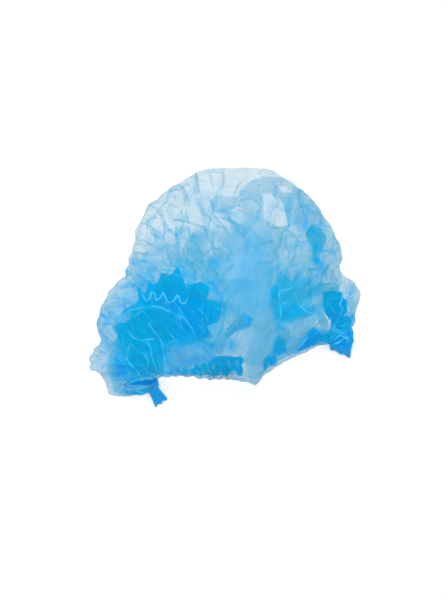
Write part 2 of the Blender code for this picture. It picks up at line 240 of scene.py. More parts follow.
from_front, from_back, from_edge = np.array(row_places).transpose(1, 0, 2)
print("cloth grid:", base.shape[:2], "longest section", round(from_front.max() * 1000), "mm")

# %% [markdown]
# ## Crumples, gathers and ruffles
# Thin pressed cloth doesn't wrinkle in soft waves: it keeps flat facets that meet in sharp
# creases. Zigzag waves that cross each other, each pressed in some places and not in others, give
# the surface such folds. The finest creases are left to the material, which draws them as the
# borders of cells in the cloth's own fanned-out coordinates, so they run from the rim outwards.

# %% Smooth noise and crossing zigzag folds
def noise(points, wave, seed):
    """Smooth noise from -1 to 1: eight sine waves about one wavelength long."""
    dice = np.random.default_rng(seed)
    ways = dice.normal(size=(8, 3))
    ways *= (2 * math.pi / wave) * dice.uniform(0.6, 1.4, (8, 1)) / np.linalg.norm(ways, axis=1)[:, None]
    turns = dice.uniform(0, 2 * math.pi, 8)
    return np.sin(points @ ways.T + turns).mean(axis=-1) * 1.8


def zigzag(phase):
    """A triangle wave from -1 to 1 with its creases at whole and half phases."""
    return 4 * np.abs(phase - np.floor(phase + 0.5)) - 1


Crumple = namedtuple("Crumple", "angle wave depth bend seed")
CRUMPLES = [Crumple(*row) for row in (
    (12, 0.030, 0.0020, 0.5, 11), (78, 0.025, 0.0018, 0.5, 12), (132, 0.020, 0.0015, 0.6, 13),
    (35, 0.016, 0.0012, 0.6, 14), (105, 0.0125, 0.0009, 0.7, 15), (160, 0.0100, 0.0007, 0.7, 16),
)]


def crumpled(points):
    """How far the crossing zigzags push the cloth out of its smooth form."""
    relief = np.zeros(points.shape[:-1])
    for one in CRUMPLES:
        turn = math.radians(one.angle)
        phase = points @ np.array([math.cos(turn), math.sin(turn), 0.55]) / one.wave
        phase += one.bend * noise(points, 0.075, one.seed)
        relief += one.depth * zigzag(phase) * ease(0.5 + 1.1 * noise(points, 0.05, one.seed + 40))
    return relief


FAN_AT, FAN_BACK = spot(226, 345), 0.03
FAN_AROUND, FAN_OUT, FAN_UP, FAN_BEND = 0.11, 0.62, 0.6, 0.0020


def fanned(points, shift=0.0):
    """The cloth's own coordinates: round the middle of the rim, out from it, and up."""
    across, deep = points[..., 0] - FAN_AT[0], points[..., 1] - FAN_AT[1]
    around = np.arctan2(across, deep + FAN_BACK)
    out = FAN_OUT * np.hypot(across, deep)
    flat = np.stack([FAN_AROUND * around, out, FAN_UP * points[..., 2]], axis=-1)
    bends = np.stack([noise(points, 0.028, seed) for seed in (1, 2, 3)], axis=-1)
    return flat + FAN_BEND * bends + shift


# %% Gathers at the hems and ruffles round the outline
GATHER_PITCH, GATHER_DEPTH, GATHER_REACH = 0.0088, 0.0024, 0.026
FINE_DEPTH, FINE_REACH = 0.0002, 0.008
Gathering = namedtuple("Gathering", "along depth dark ruffle")
GATHERING = [Gathering(*row) for row in (
    (0.00, 0.10, 0.6, 0.3), (0.08, 0.30, 0.5, 0.6), (0.14, 0.70, 0.7, 0.6), (0.20, 0.90, 1.0, 0.7),
    (0.30, 1.00, 1.0, 1.1), (0.45, 1.00, 1.0, 0.7), (0.55, 0.90, 1.2, 0.30), (0.60, 0.60, 0.8, 0.25),
    (0.64, 0.15, 0.1, 0.25), (0.70, 0.20, 0.1, 0.30), (0.74, 0.35, 0.4, 0.35), (0.82, 0.12, 0.1, 0.45),
    (0.90, 0.20, 0.5, 0.45), (0.96, 0.45, 1.2, 0.50), (1.00, 0.20, 1.2, 0.40),
)]
RUFFLE_PITCH, RUFFLE_DEPTH, RUFFLE_REACH = 0.0175, 0.0022, 0.020
FINE_PER_GATHER = 2.4


def turns_along(line, pitch, drift, drift_wave, start):
    """How many gathers or ruffles lie before each point of a line, in places wider or closer."""
    arc = length_along(line)
    return arc / pitch + drift * np.sin(2 * math.pi * arc / drift_wave + start)


gather_turns = turns_along(rim_line, GATHER_PITCH, drift=0.35, drift_wave=0.070, start=1.0)
ruffle_turns = turns_along(out_line, RUFFLE_PITCH, drift=0.50, drift_wave=0.110, start=2.0)
gather_phase = gather_turns[:, None] + 0.16 * noise(base, 0.03, 61)
fine_phase = FINE_PER_GATHER * gather_turns[:, None] + 0.2 * noise(base, 0.02, 63)
ruffle_phase = ruffle_turns[:, None] + 0.20 * noise(base, 0.04, 62)
from_hem = np.minimum(from_front, from_back)
near_hem = np.exp(-((from_hem / GATHER_REACH) ** 2))
near_edge = np.exp(-((from_edge / RUFFLE_REACH) ** 2))
from_tab = np.minimum(along, 1 - along)[:, None]
SMOOTH_FOLD_AT, SMOOTH_FOLD_SPREAD, SMOOTH_FOLD_RISE = 0.665, 0.050, 0.0035
band = np.exp(-(((along[:, None] - SMOOTH_FOLD_AT) / SMOOTH_FOLD_SPREAD) ** 4))
waviness = 0.8 + 0.4 * noise(base, 0.05, 3)  # some gathers and ruffles stand higher
pulled = smooth(GATHERING, "depth", along)[:, None]
darkened = smooth(GATHERING, "dark", along)[:, None]
ruffled = smooth(GATHERING, "ruffle", along)[:, None]
OFF_EDGE, HEM_HOLD, HEM_HOLD_REACH = 0.030, 0.6, 0.006
off_edge = ease(np.abs(from_edge) / OFF_EDGE)
at_hem = 1 - HEM_HOLD * np.exp(-((from_hem / HEM_HOLD_REACH) ** 2))
gathers = GATHER_DEPTH * near_hem * pulled * waviness * np.sin(2 * math.pi * gather_phase)
gathers = gathers * off_edge * at_hem
gathers += FINE_DEPTH * np.exp(-((from_hem / FINE_REACH) ** 2)) * pulled * np.sin(2 * math.pi * fine_phase)

# %% Crumples, a slow swell and one smooth fold, all calmer near the hems and the outline
scallops = 1 - 2 * np.abs(np.sin(math.pi * ruffle_phase)) ** 0.8
ruffles = -RUFFLE_DEPTH * near_edge * ruffled * waviness * (0.7 * scallops + 0.7)
relief = crumpled(base)
calm = (1 - 0.7 * near_hem) * (1 - 0.5 * near_edge) * (1 - 0.6 * band)
UNDER_SHARE = 0.35
under = from_edge > 0
relief = relief * calm * np.where(under, UNDER_SHARE, 1.0)
SWELL_RISE, SWELL_WAVE, RUFFLE_FADE, RELIEF_FADE = 0.0026, 0.055, 0.05, 0.10
swell = SWELL_RISE * noise(base, SWELL_WAVE, 5) * (1 - near_hem) * (1 - near_edge) * ~under
moved = gathers + ruffles * ease(from_tab / RUFFLE_FADE) + (relief + swell) * ease(from_tab / RELIEF_FADE)
moved = moved + SMOOTH_FOLD_RISE * band * ease(from_front / GATHER_REACH) * ~under * (1 - near_edge)
print("relief from", round(moved.min() * 1000, 1), "to", round(moved.max() * 1000, 1), "mm")


# %% Move the cloth along its normals
def unit(vectors):
    return vectors / np.maximum(np.linalg.norm(vectors, axis=-1, keepdims=True), 1e-9)


def normals_of(grid):
    return unit(np.cross(np.gradient(grid, axis=0), np.gradient(grid, axis=1)))


normals = normals_of(base)
cloth = base + normals * moved[:, :, None]
CLOTH_LOW = 0.0004
cloth[:, :, 2] = np.maximum(cloth[:, :, 2], CLOTH_LOW)
print("cloth box (mm):", (cloth.min((0, 1)) * 1000).round(1), (cloth.max((0, 1)) * 1000).round(1))

# %% [markdown]
# ## The see-through cloth material
# One layer of the cloth hides about a fifth of what lies behind it. Where the modelled layer
# stands for several pressed together, the share that still shows through is (1 - hiding) to the
# power of the number of plies, so the material works out its alpha from a "plies" attribute.
# Creases and overlapped strips add plies of their own: they are the borders of Voronoi cells in
# the cloth's fanned-out coordinates, and each border is pressed into a fold or is left out.

# %% Shader arithmetic: a class around a socket, and a painter that adds nodes
class Value:
    """A shader value. Arithmetic on it adds Math nodes."""

    def __init__(self, painter, socket):
        self.painter, self.socket = painter, socket

    def math(self, operation, *others, flip=False):
        terms = [self, *others]
        return self.painter.node(
            "ShaderNodeMath", {"operation": operation}, dict(enumerate(terms[::-1] if flip else terms)))

    def __add__(self, other):
        return self.math("ADD", other)

    def __mul__(self, other):
        return self.math("MULTIPLY", other)

    __radd__, __rmul__ = __add__, __mul__

    def __sub__(self, other):
        return self.math("SUBTRACT", other)

    def __rsub__(self, other):
        return self.math("SUBTRACT", other, flip=True)

    def __truediv__(self, other):
        return self.math("DIVIDE", other)

    def __rpow__(self, other):
        return self.math("POWER", other, flip=True)


class Painter:
    """Builds one material's nodes."""

    def __init__(self, name):
        self.material = bpy.data.materials.new(name)
        self.material.use_nodes = True
        self.tree = self.material.node_tree
        self.shader = self.tree.nodes["Principled BSDF"]

    def set(self, socket, value):
        if isinstance(value, Value):
            self.tree.links.new(value.socket, socket)
        else:
            socket.default_value = value

    def node(self, kind, settings=None, inputs=None, output=0):
        made = self.tree.nodes.new(kind)
        for key, value in (settings or {}).items():
            if key == "stops":
                elements = made.color_ramp.elements
                while len(elements) < len(value):
                    elements.new(0.5)
                for element, (place, color) in zip(elements, value):
                    element.position, element.color = place, (*color, 1.0)
            else:
                setattr(made, key, value)
        for key, value in (inputs or {}).items():
            self.set(made.inputs[key], value)
        return Value(self, made.outputs[output])

    def attribute(self, name, output="Fac"):
        return self.node("ShaderNodeAttribute", {"attribute_name": name}, output=output)

    def parts(self, name):
        vector = self.attribute(name, "Vector")
        return [self.node("ShaderNodeSeparateXYZ", None, {0: vector}, axis) for axis in "XYZ"]

    def mix(self, first, second, factor):
        return self.node("ShaderNodeMix", {"data_type": "RGBA"}, {0: factor, 6: first, 7: second}, 2)

    def steps(self, value, start, stop, low, high):
        return self.node(
            "ShaderNodeMapRange", {"interpolation_type": "SMOOTHSTEP"},
            {0: value, 1: start, 2: stop, 3: low, 4: high})

    def finish(self, **sockets):
        for name, value in sockets.items():
            self.set(self.shader.inputs[name.replace("_", " ")], value)
        return self.material


# %% The cloth's colours, light to deep, and the material
# GLEAM is a painted highlight: the light-blue glint of fold edges and creases where they catch the light.
PALE, GLEAM = (0.25, 0.55, 0.80), (0.07, 0.56, 0.96)
STOPS = [
    (0.00, (0.000, 0.300, 0.430)),
    (0.12, (0.000, 0.362, 0.625)),
    (0.30, (0.000, 0.385, 0.740)),
    (0.60, (0.000, 0.330, 0.790)),
    (1.00, (0.000, 0.285, 0.800)),
]
HIDING, MOST_PLIES = 0.22, 20.0
MOTTLE_SCALE, BOND_SCALE, DOT_SCALE, FIBRE_SCALE = 70.0, 560.0, 800.0, 1400.0
Crease = namedtuple("Crease", "cells stretch line strip fold_plies line_plies share")
CREASES = [Crease(*row) for row in (
    (95.0, 0.60, 0.060, 0.28, 1.1, 1.4, 0.40), (150.0, 1.00, 0.075, 0.34, 0.5, 0.8, 0.55),
)]


def cloth_material(name, strips=1.0):
    """See-through cloth; strips says how strongly its seeded creases show."""
    paint = Painter(name)
    plies, tone, calm, dotted, gleam = (
        paint.attribute(key) for key in ("plies", "tone", "calm", "dotted", "gleam"))
    sheet = paint.attribute("sheet", "Vector")
    here = paint.node("ShaderNodeTexCoord", None, None, "Object")
    folded, lined, height = 0.0, 0.0, 0.0
    for one in CREASES:
        longer = paint.node("ShaderNodeVectorMath", {"operation": "MULTIPLY"}, {
            0: sheet, 1: (1.0, one.stretch, one.stretch)})
        cells = {"Vector": longer, "Scale": one.cells}
        mine, other, from_border = (
            paint.node("ShaderNodeTexVoronoi", {"feature": feature}, cells, output)
            for feature, output in (("F1", "Color"), ("F2", "Color"), ("DISTANCE_TO_EDGE", "Distance")))
        mine, other = (paint.node("ShaderNodeSeparateXYZ", None, {0: color}) for color in (mine, other))
        pair = paint.node(
            "ShaderNodeTexWhiteNoise", {"noise_dimensions": "1D"}, {"W": mine + other}, "Value")
        pressed = paint.steps(pair, one.share, one.share + 0.3, 0.0, 1.0)
        upper = mine.math("GREATER_THAN", other)
        strip = paint.steps(from_border / (one.strip * (0.4 + pair)), 0.6, 1.0, 1.0, 0.0)
        folded = one.fold_plies * pressed * upper * strip + folded
        lined = one.line_plies * pressed * paint.steps(from_border, 0.0, one.line, 1.0, 0.0) + lined
        height = (1.0 / one.cells) * from_border.math("MINIMUM", 0.25) + height
    waves, press = paint.parts("waves"), paint.parts("press")
    pleats = 0.0
    for phase, pressed, share in zip(waves, press, (0.30, 0.55, 0.50)):
        pleats = pressed * paint.steps(phase.math("FRACT"), 0.0, share, 1.0, 0.0) + pleats
    mottle = paint.node("ShaderNodeTexNoise", None, {"Vector": here, "Scale": MOTTLE_SCALE, "Detail": 4.0})
    creased = strips * calm * (folded + lined)
    bonds = paint.node("ShaderNodeTexVoronoi", None, {"Vector": here, "Scale": BOND_SCALE})
    total = plies * (0.70 + 0.60 * mottle) * (1 + 0.30 * creased) + 0.7 * creased + pleats
    total = total + dotted * paint.steps(bonds, 0.25, 0.50, 1.0, 0.0)
    color = paint.node("ShaderNodeValToRGB", {"stops": STOPS}, {0: total / MOST_PLIES})
    # Painted highlight: crease lines on deep blue and the edges' gleam attribute are mixed towards GLEAM, as
    # light caught on their folds.
    crease_highlight = calm * lined * paint.steps(plies, 5.0, 12.0, 0.0, 0.5)
    color = paint.mix(color, (*PALE, 1.0), tone)
    color = paint.mix(color, (*GLEAM, 1.0), (gleam + crease_highlight).math("MINIMUM", 1.0))
    alpha = 1 - (1 - HIDING) ** total
    dots = paint.node("ShaderNodeTexVoronoi", None, {"Vector": here, "Scale": DOT_SCALE})
    fibres = paint.node("ShaderNodeTexNoise", None, {"Vector": here, "Scale": FIBRE_SCALE, "Detail": 2.0})
    creases = paint.node(
        "ShaderNodeBump", None, {"Strength": 0.6, "Distance": 0.3, "Height": height}, "Normal")
    bump = paint.node("ShaderNodeBump", None, {
        "Strength": 0.35, "Distance": 0.0002, "Height": dots + 0.6 * fibres, "Normal": creases}, "Normal")
    return paint.finish(Base_Color=color, Alpha=alpha, Roughness=0.8, Specular_IOR_Level=0.05, Normal=bump)


cloth_blue = cloth_material("layered_cloth")
hem_blue = cloth_material("gathered_hem", strips=0.3)
print("materials:", cloth_blue.name, "and", hem_blue.name)

# %% [markdown]
# ## One mesh from many pieces of the same cloth
# The upper layer, the folds that lie crumpled inside and the sharp pressed edges are all the one
# cloth, so they go into one mesh. Each part hands over its points, its faces and the numbers
# that the material reads.

# %% Parts of the cloth and the mesh they make
Part = namedtuple("Part", "points faces plies tone calm dotted gleam sheet waves press")


def part(points, faces, plies, tone=0.0, calm=0.0, shift=0.0, waves=None, press=None, dotted=0.0,
         gleam=0.0):
    """A part of the cloth; a single number stands for the same value at every point."""
    count, still = len(points), np.zeros((len(points), 3))
    numbers = (np.broadcast_to(value, count) for value in (plies, tone, calm, dotted, gleam))
    return Part(points, faces, *numbers, fanned(points, shift),
                still if waves is None else waves, still if press is None else press)


def grid_faces(count, rows):
    """The faces of a grid of points."""
    low = (np.arange(count - 1)[:, None] * rows + np.arange(rows - 1)[None, :]).ravel()
    return np.stack([low, low + 1, low + rows + 1, low + rows], axis=1).tolist()


def tube_faces(count, around):
    """The faces of a closed tube of rings, and of its two ends."""
    faces = [[i * around + j, i * around + (j + 1) % around, (i + 1) * around + (j + 1) % around,
              (i + 1) * around + j] for i in range(count - 1) for j in range(around)]
    first, last = list(range(around)), [(count - 1) * around + j for j in range(around)]
    return faces, first, last


def made_object(name, points, faces, material, **numbers):
    """A smooth object, with named numbers or vectors at its points for the material to read."""
    mesh = bpy.data.meshes.new(name)
    mesh.from_pydata(points.tolist(), [], faces)
    for key, values in numbers.items():
        kind, field = ("FLOAT", "value") if values.ndim == 1 else ("FLOAT_VECTOR", "vector")
        layer = mesh.attributes.new(key, kind, "POINT")
        layer.data.foreach_set(field, values.astype(np.float32).ravel())
    mesh.polygons.foreach_set("use_smooth", [True] * len(mesh.polygons))
    mesh.materials.append(material)
    made = bpy.data.objects.new(name, mesh)
    bpy.context.scene.collection.objects.link(made)
    print(name, len(mesh.vertices), "points,", sum(len(face) - 2 for face in faces), "triangles")
    return made


def cloth_object(name, parts, material):
    faces, first = [], 0
    for one in parts:
        faces += [[corner + first for corner in face] for face in one.faces]
        first += len(one.points)
    points, *numbers = (
        np.concatenate([getattr(one, key) for one in parts]) for key in Part._fields if key != "faces")
    return made_object(name, points, faces, material, **dict(zip(Part._fields[2:], numbers)))


# %% [markdown]
# ## The crown's upper layer and what lies bunched under it
# Between the clear folds more cloth lies bunched inside, with no edge that can be seen. It could
# be modelled sheet by sheet, but it only shows as a soft deeper blue, so the upper layer stands
# for more plies there. Each patch is a soft oval placed on the picture, and its plies
# were corrected by comparing the colours of the render and the photograph.

# %% Soft ovals: the middle and half sizes in picture points, and the plies that they add
Patch = namedtuple("Patch", "x y wide deep plies")
PATCHES = [Patch(*row) for row in (
    (182, 262, 34, 26, 0.8), (205, 262, 26, 30, 0.2), (248, 262, 26, 34, 4.2), (248, 305, 24, 34, 3.8),
    (258, 350, 20, 26, 2.8), (118, 335, 22, 34, 2.6), (108, 372, 22, 16, 1.6), (188, 360, 28, 14, 4.5),
    (292, 300, 30, 34, 3.6), (318, 240, 18, 44, 1.8), (300, 205, 34, 26, 1.0), (348, 305, 14, 24, 2.4),
    (165, 215, 40, 30, 0.3), (128, 300, 14, 20, 2.0), (102, 312, 14, 16, 1.6), (140, 285, 14, 14, 1.8),
    (290, 345, 24, 14, 1.5), (150, 350, 22, 26, 5.0), (300, 352, 30, 12, 3.5), (262, 366, 24, 14, 3.0),
    (126, 388, 16, 12, 3.0), (242, 337, 10, 8, -2.0), (109, 384, 12, 8, -1.5), (135, 272, 16, 20, 1.0),
    (214, 290, 13, 14, 5.0), (195, 275, 30, 10, 1.5), (230, 230, 30, 24, 0.6), (192, 343, 24, 7, 5.0),
    (172, 345, 10, 8, 2.0), (212, 345, 12, 6, 3.0), (232, 345, 12, 8, 2.0), (212, 357, 16, 4, 3.0),
    (165, 362, 9, 12, 3.0), (185, 369, 16, 4, 4.0), (123, 364, 8, 10, 7.0), (109, 326, 8, 14, 1.5),
    (190, 203, 20, 8, 0.9), (215, 202, 10, 8, 0.8), (295, 224, 9, 10, 2.2), (163, 250, 10, 10, 3.0),
    (150, 270, 12, 10, 3.0), (147, 287, 7, 8, 5.0), (206, 240, 14, 9, 2.0), (190, 279, 7, 7, 4.0),
    (206, 278, 8, 6, -3.5), (221, 300, 6, 6, 4.0), (221, 332, 6, 8, 3.0), (305, 310, 8, 6, 2.5),
    (291, 312, 6, 7, 3.0), (347, 318, 6, 8, 5.0), (313, 334, 9, 6, 11.0), (304, 341, 8, 5, 10.0),
    (314, 263, 4, 4, 8.0), (313, 249, 7, 6, 2.0), (241, 298, 14, 14, 0.8), (193, 360, 20, 5, 3.0),
    (123, 371, 8, 7, 6.0), (221, 333, 6, 8, 2.0), (322, 301, 5, 8, 3.0), (236, 340, 9, 7, 1.2),
    (206, 355, 7, 4, 2.0), (235, 369, 5, 4, 4.0),
)]


def bunched(points):
    """The plies that all the ovals add at each point."""
    total = np.zeros(points.shape[:-1])
    ragged = 1 + 0.35 * noise(points, 0.03, 71)
    for one in PATCHES:
        x, y = spot(one.x, one.y)
        across, deep = (points[..., 0] - x) / (one.wide * POINT), (points[..., 1] - y) / (one.deep * POINT)
        total += one.plies * np.exp(-(across**2 + deep**2) * ragged)
    return np.maximum(total, 0.0)


# %% The crown's grid and how many plies it stands for
UNDER_PLIES, UPPER_PLIES, RIM_PLIES, RIM_REACH = 0.95, 1.05, 2.2, 0.012
RUFFLE_PLIES, GATHER_PLIES, FINE_PLIES, RUFFLE_START = 1.3, 3.4, 1.5, 0.004
LOWER_SHEET_SHIFT = 5.0
crown_rows = slice(HEM_ROWS, -HEM_ROWS)
fine_valleys = 0.5 - 0.5 * np.sin(2 * math.pi * fine_phase)
plies = np.where(under, UNDER_PLIES, UPPER_PLIES + bunched(cloth))
plies = plies + RIM_PLIES * np.exp(-((from_front / RIM_REACH) ** 2))
at_rim = np.exp(-((from_front / FINE_REACH) ** 2))
quiet = (1 - 0.6 * near_hem) * (1 - 0.7 * band) * np.where(under, 0.5, 1.0)
waves = np.stack([ruffle_phase, gather_phase, fine_phase], axis=-1)
press = np.stack([
    RUFFLE_PLIES * near_edge * ease(-from_edge / RUFFLE_START) * ruffled,
    GATHER_PLIES * near_hem * darkened * off_edge * ~under,
    FINE_PLIES * at_rim * darkened], axis=-1)
points, waves, press = (grid[:, crown_rows].reshape(-1, 3) for grid in (cloth, waves, press))
plies, quiet, lower = (grid[:, crown_rows].ravel() for grid in (plies, quiet, under))
crown_part = part(
    points, grid_faces(*cloth[:, crown_rows].shape[:2]), plies, calm=quiet, waves=waves, press=press)
crown_part = crown_part._replace(
    sheet=crown_part.sheet + np.where(lower[:, None], LOWER_SHEET_SHIFT, 0.0))
print("the crown stands for", plies.min().round(1), "to", plies.max().round(1), "plies")

# %% [markdown]
# ## Folds that lie inside and over the crown
# Where the photograph turns from pale to deep blue at a crisp edge, a fold of cloth lies under
# the upper layer. Each fold is outlined on the picture, filled with a fine net of triangles and
# laid against the crown from inside, or over it where it is the fold that shows.

# %% The crown's height as a smooth map
STEP, MAP_MARGIN, RAY_HEIGHT = 0.002, 0.01, 0.2
FILL_TIMES, OUTSIDE_HEIGHT = 12, 0.004
top_rows = TOP_ROWS + HEM_ROWS
tree = BVHTree.FromPolygons(
    cloth[:, :top_rows].reshape(-1, 3).tolist(), grid_faces(COLUMNS, top_rows))
map_x, map_y = (
    np.arange(cad_box[0][axis] - MAP_MARGIN, cad_box[1][axis] + MAP_MARGIN, STEP) for axis in (0, 1))
heights = np.full((len(map_x), len(map_y)), np.nan)
for i, x in enumerate(map_x):
    for j, y in enumerate(map_y):
        hit = tree.ray_cast(Vector((x, y, RAY_HEIGHT)), Vector((0, 0, -1)))[0]
        if hit:
            heights[i, j] = hit.z


def spread_out(heights, pick, times):
    """The map with each place picked from itself and its eight neighbours."""
    for _ in range(times):
        padded = np.pad(heights, 1, mode="edge")
        shifted = [padded[1 + a:1 + a + heights.shape[0], 1 + b:1 + b + heights.shape[1]]
                   for a in (-1, 0, 1) for b in (-1, 0, 1)]
        heights = pick(np.stack(shifted), axis=0)
    return heights


filled = heights
for _ in range(FILL_TIMES):
    with warnings.catch_warnings():
        warnings.simplefilter("ignore", RuntimeWarning)  # patches still wholly empty
        filled = np.where(np.isnan(filled), spread_out(filled, np.nanmean, 1), filled)
filled = np.nan_to_num(filled, nan=OUTSIDE_HEIGHT)
over_map = spread_out(spread_out(filled, np.max, 1), np.mean, 1)
under_map = spread_out(spread_out(filled, np.min, 2), np.mean, 3)


def height_at(chart, plan):
    """The map's height at places in plan, between its own places too."""
    u = np.clip((plan[:, 0] - map_x[0]) / STEP, 0, len(map_x) - 1.001)
    v = np.clip((plan[:, 1] - map_y[0]) / STEP, 0, len(map_y) - 1.001)
    i, j = u.astype(int), v.astype(int)
    u, v = u - i, v - j
    low = chart[i, j] * (1 - u) + chart[i + 1, j] * u
    high = chart[i, j + 1] * (1 - u) + chart[i + 1, j + 1] * u
    return low * (1 - v) + high * v


print("height map", heights.shape, "highest", round(np.nanmax(heights) * 1000), "mm")


# %% A net of triangles inside an outline
def resampled(line, gap, closed=False):
    """The same line with its points evenly spaced."""
    if closed:
        line = np.vstack([line, line[:1]])
    arcs = length_along(line)
    at = np.linspace(0, arcs[-1], max(3, int(arcs[-1] / gap) + 1))
    if closed:
        at = at[:-1]
    return np.stack([np.interp(at, arcs, line[:, axis]) for axis in (0, 1)], axis=1)


def net(outline, holes=(), gap=0.0018):
    """Points in plan and triangles that fill an outline; its holes only get a border of points.
    Rows at 0.87 of the gap make the triangles nearly even."""
    loops = [resampled(loop, gap * 0.7, closed=True) for loop in (outline, *holes)]
    edges, first = [], 0
    for loop in loops:
        count = len(loop)
        edges += [(first + i, first + (i + 1) % count) for i in range(count)]
        first += count
    low, high = outline.min(axis=0), outline.max(axis=0)
    xs, ys = np.arange(low[0], high[0], gap), np.arange(low[1], high[1], gap * 0.87)
    inner = np.array([(x + (gap / 2 if j % 2 else 0), y) for j, y in enumerate(ys) for x in xs])
    border = np.vstack(loops)
    near = np.array([np.min(np.abs(border - point).sum(axis=1)) for point in inner])
    inner = inner[near > gap * 0.6]
    points = [Vector(point) for point in np.vstack([border, inner])]
    found = delaunay_2d_cdt(points, edges, [], 0, 1e-7)
    plan, faces = np.array([list(v) for v in found[0]]), [list(face) for face in found[2]]
    return plan, faces


def within(plan, loop):
    """Which points lie inside a loop."""
    inside = np.zeros(len(plan), bool)
    for (ax, ay), (bx, by) in zip(loop, np.roll(loop, -1, axis=0)):
        crosses = (ay > plan[:, 1]) != (by > plan[:, 1])
        at = ax + (plan[:, 1] - ay) / (by - ay + 1e-12) * (bx - ax)
        inside ^= crosses & (plan[:, 0] < at)
    return inside


def crinkled(outline, amount, seed, gap=0.002):
    """An outline with the small uneven bends of a crumpled edge."""
    line = resampled(outline, gap, closed=True)
    deep = np.column_stack([line, np.zeros(len(line))])
    shake = np.stack([noise(deep, 0.011, seed + 1) + 0.5 * noise(deep, 0.005, seed + 2),
                      noise(deep, 0.011, seed + 3) + 0.5 * noise(deep, 0.005, seed + 4)], axis=1)
    return line + amount * shake


UNDER_RELIEF, OVER_RELIEF, FOLD_LOW, FADE_GAP, SHEET_SHIFT = 0.8, 0.5, 0.0008, 0.002, 0.1


def fold(outline, plies, lift, over=False, holes=(), calm=1.0, tone=0.0, seed=100, crinkle=0.0010,
         soft=0.0, border=0.0, dotted=0.0, fade=None):
    """One fold of cloth laid against the crown, from inside or over it. It thins out over the
    soft width to the border's share of its plies, along its fade line or all round."""
    outline = crinkled(outline, crinkle, seed)
    holes = [crinkled(hole, 0.5 * crinkle, seed + 9) for hole in holes]
    plan, faces = net(outline, holes)
    middles = np.array([plan[face].mean(axis=0) for face in faces])
    keep = within(middles, outline)
    for hole in holes:
        keep &= ~within(middles, hole)
    faces = [face for face, kept in zip(faces, keep) if kept]
    used = np.unique(np.concatenate(faces))
    place = np.full(len(plan), -1)
    place[used] = np.arange(len(used))
    plan, faces = plan[used], [[int(place[corner]) for corner in face] for face in faces]
    height = height_at(over_map, plan) + lift if over else height_at(under_map, plan) - lift
    points = np.column_stack([plan, height])
    points[:, 2] += (OVER_RELIEF if over else UNDER_RELIEF) * calm * crumpled(points)
    points[:, 2] = np.maximum(points[:, 2], FOLD_LOW)
    if soft:
        line = np.vstack([outline[::2], *holes]) if fade is None else resampled(fade, FADE_GAP)
        inside = np.min(np.linalg.norm(plan[:, None] - line[None], axis=2), axis=1)
        share = ease(inside / soft * (1 + 0.5 * noise(points, 0.02, seed)))
        plies = plies * (border + (1 - border) * share)
    return part(points, faces, plies, tone=tone, calm=calm, shift=SHEET_SHIFT * seed, dotted=dotted)


# %% The folds seen in the photograph, under the upper layer
shade = fold(spots(
    (210, 204), (214, 200), (221, 198), (229, 200), (236, 199), (241, 191), (248, 185), (257, 181),
    (268, 178), (281, 178), (292, 180), (298, 189), (305, 196), (312, 203), (319, 212), (325, 222),
    (330, 232), (337, 243), (340, 256), (340, 270), (341, 283), (336, 292), (328, 299), (318, 301),
    (300, 299), (285, 303), (272, 300), (262, 282), (256, 262), (244, 256), (228, 258), (226, 244),
    (232, 232), (228, 222), (218, 216), (211, 212),
), plies=1.7, lift=0.0020, seed=110, soft=0.0022, border=0.3, holes=[
    spots((262, 198), (269, 197), (274, 203), (281, 203), (283, 214), (285, 228), (276, 229), (262, 222)),
    spots((231, 214), (238, 210), (243, 214), (243, 223), (238, 229), (232, 226)),
    spots((278, 190), (284, 188), (290, 192), (288, 195), (281, 194)),
    spots((288, 228), (295, 227), (295, 236), (289, 236)),
    spots((302, 237), (305, 238), (307, 242), (304, 241)),
])
right_spots = fold(spots(
    (306, 229), (313, 226), (321, 231), (324, 241), (320, 250), (317, 256), (318, 264), (312, 267),
    (308, 260), (310, 252), (305, 245), (303, 236),
), plies=6.0, lift=0.0030, calm=0.5, seed=120, soft=0.003, border=0.3)
middle = fold(spots(
    (166, 232), (180, 227), (195, 229), (208, 232), (222, 227), (232, 238), (236, 255), (232, 272),
    (224, 282), (222, 301), (206, 303), (190, 301), (170, 301), (150, 297), (136, 291), (131, 283),
    (135, 270), (142, 266), (149, 268), (156, 262), (162, 250),
), plies=1.3, lift=0.0026, seed=130, soft=0.012, border=0.1)
middle_low = fold(spots(
    (192, 234), (200, 237), (206, 248), (214, 258), (222, 262), (224, 276), (222, 290), (210, 292),
    (200, 286), (190, 274), (178, 268), (168, 266), (160, 272), (150, 278), (146, 272), (156, 264),
    (168, 260), (183, 254), (190, 242),
), plies=1.9, lift=0.0036, seed=140, soft=0.008, border=0.2)
back = fold(spots(
    (117, 318), (122, 315), (129, 309), (138, 304), (142, 299), (140, 293), (138, 286), (142, 289),
    (146, 292), (150, 289), (152, 279), (155, 286), (160, 285), (163, 274), (169, 275), (175, 274),
    (178, 268), (181, 268), (184, 276), (187, 284), (192, 286), (197, 283), (203, 283), (209, 286),
    (211, 291), (207, 299), (214, 301), (225, 302), (225, 318), (223, 326), (217, 338), (211, 345),
    (204, 341), (198, 346), (191, 341), (184, 347), (176, 344), (170, 350), (167, 362), (164, 372),
    (157, 375), (152, 375), (140, 377), (131, 379), (126, 370), (120, 364), (116, 358), (119, 350),
    (116, 341), (121, 335), (116, 327),
), plies=20.0, lift=0.0052, seed=150, soft=0.011, border=0.1, fade=spots(
    (113, 314), (117, 325), (117, 341), (121, 352), (125, 366), (131, 379), (145, 377), (157, 374),
    (165, 368), (168, 352), (176, 346), (190, 345), (204, 343), (214, 338), (223, 318),
))
back_core = fold(spots(
    (128, 330), (133, 318), (131, 305), (139, 300), (147, 293), (158, 287), (168, 283), (178, 280),
    (184, 290), (196, 292), (205, 300), (218, 306), (222, 314), (214, 324), (208, 334), (194, 336),
    (182, 340), (170, 346), (164, 358), (160, 368), (148, 372), (138, 370), (132, 360), (129, 346),
), plies=12.0, lift=0.0060, seed=155, soft=0.010, border=0.0)
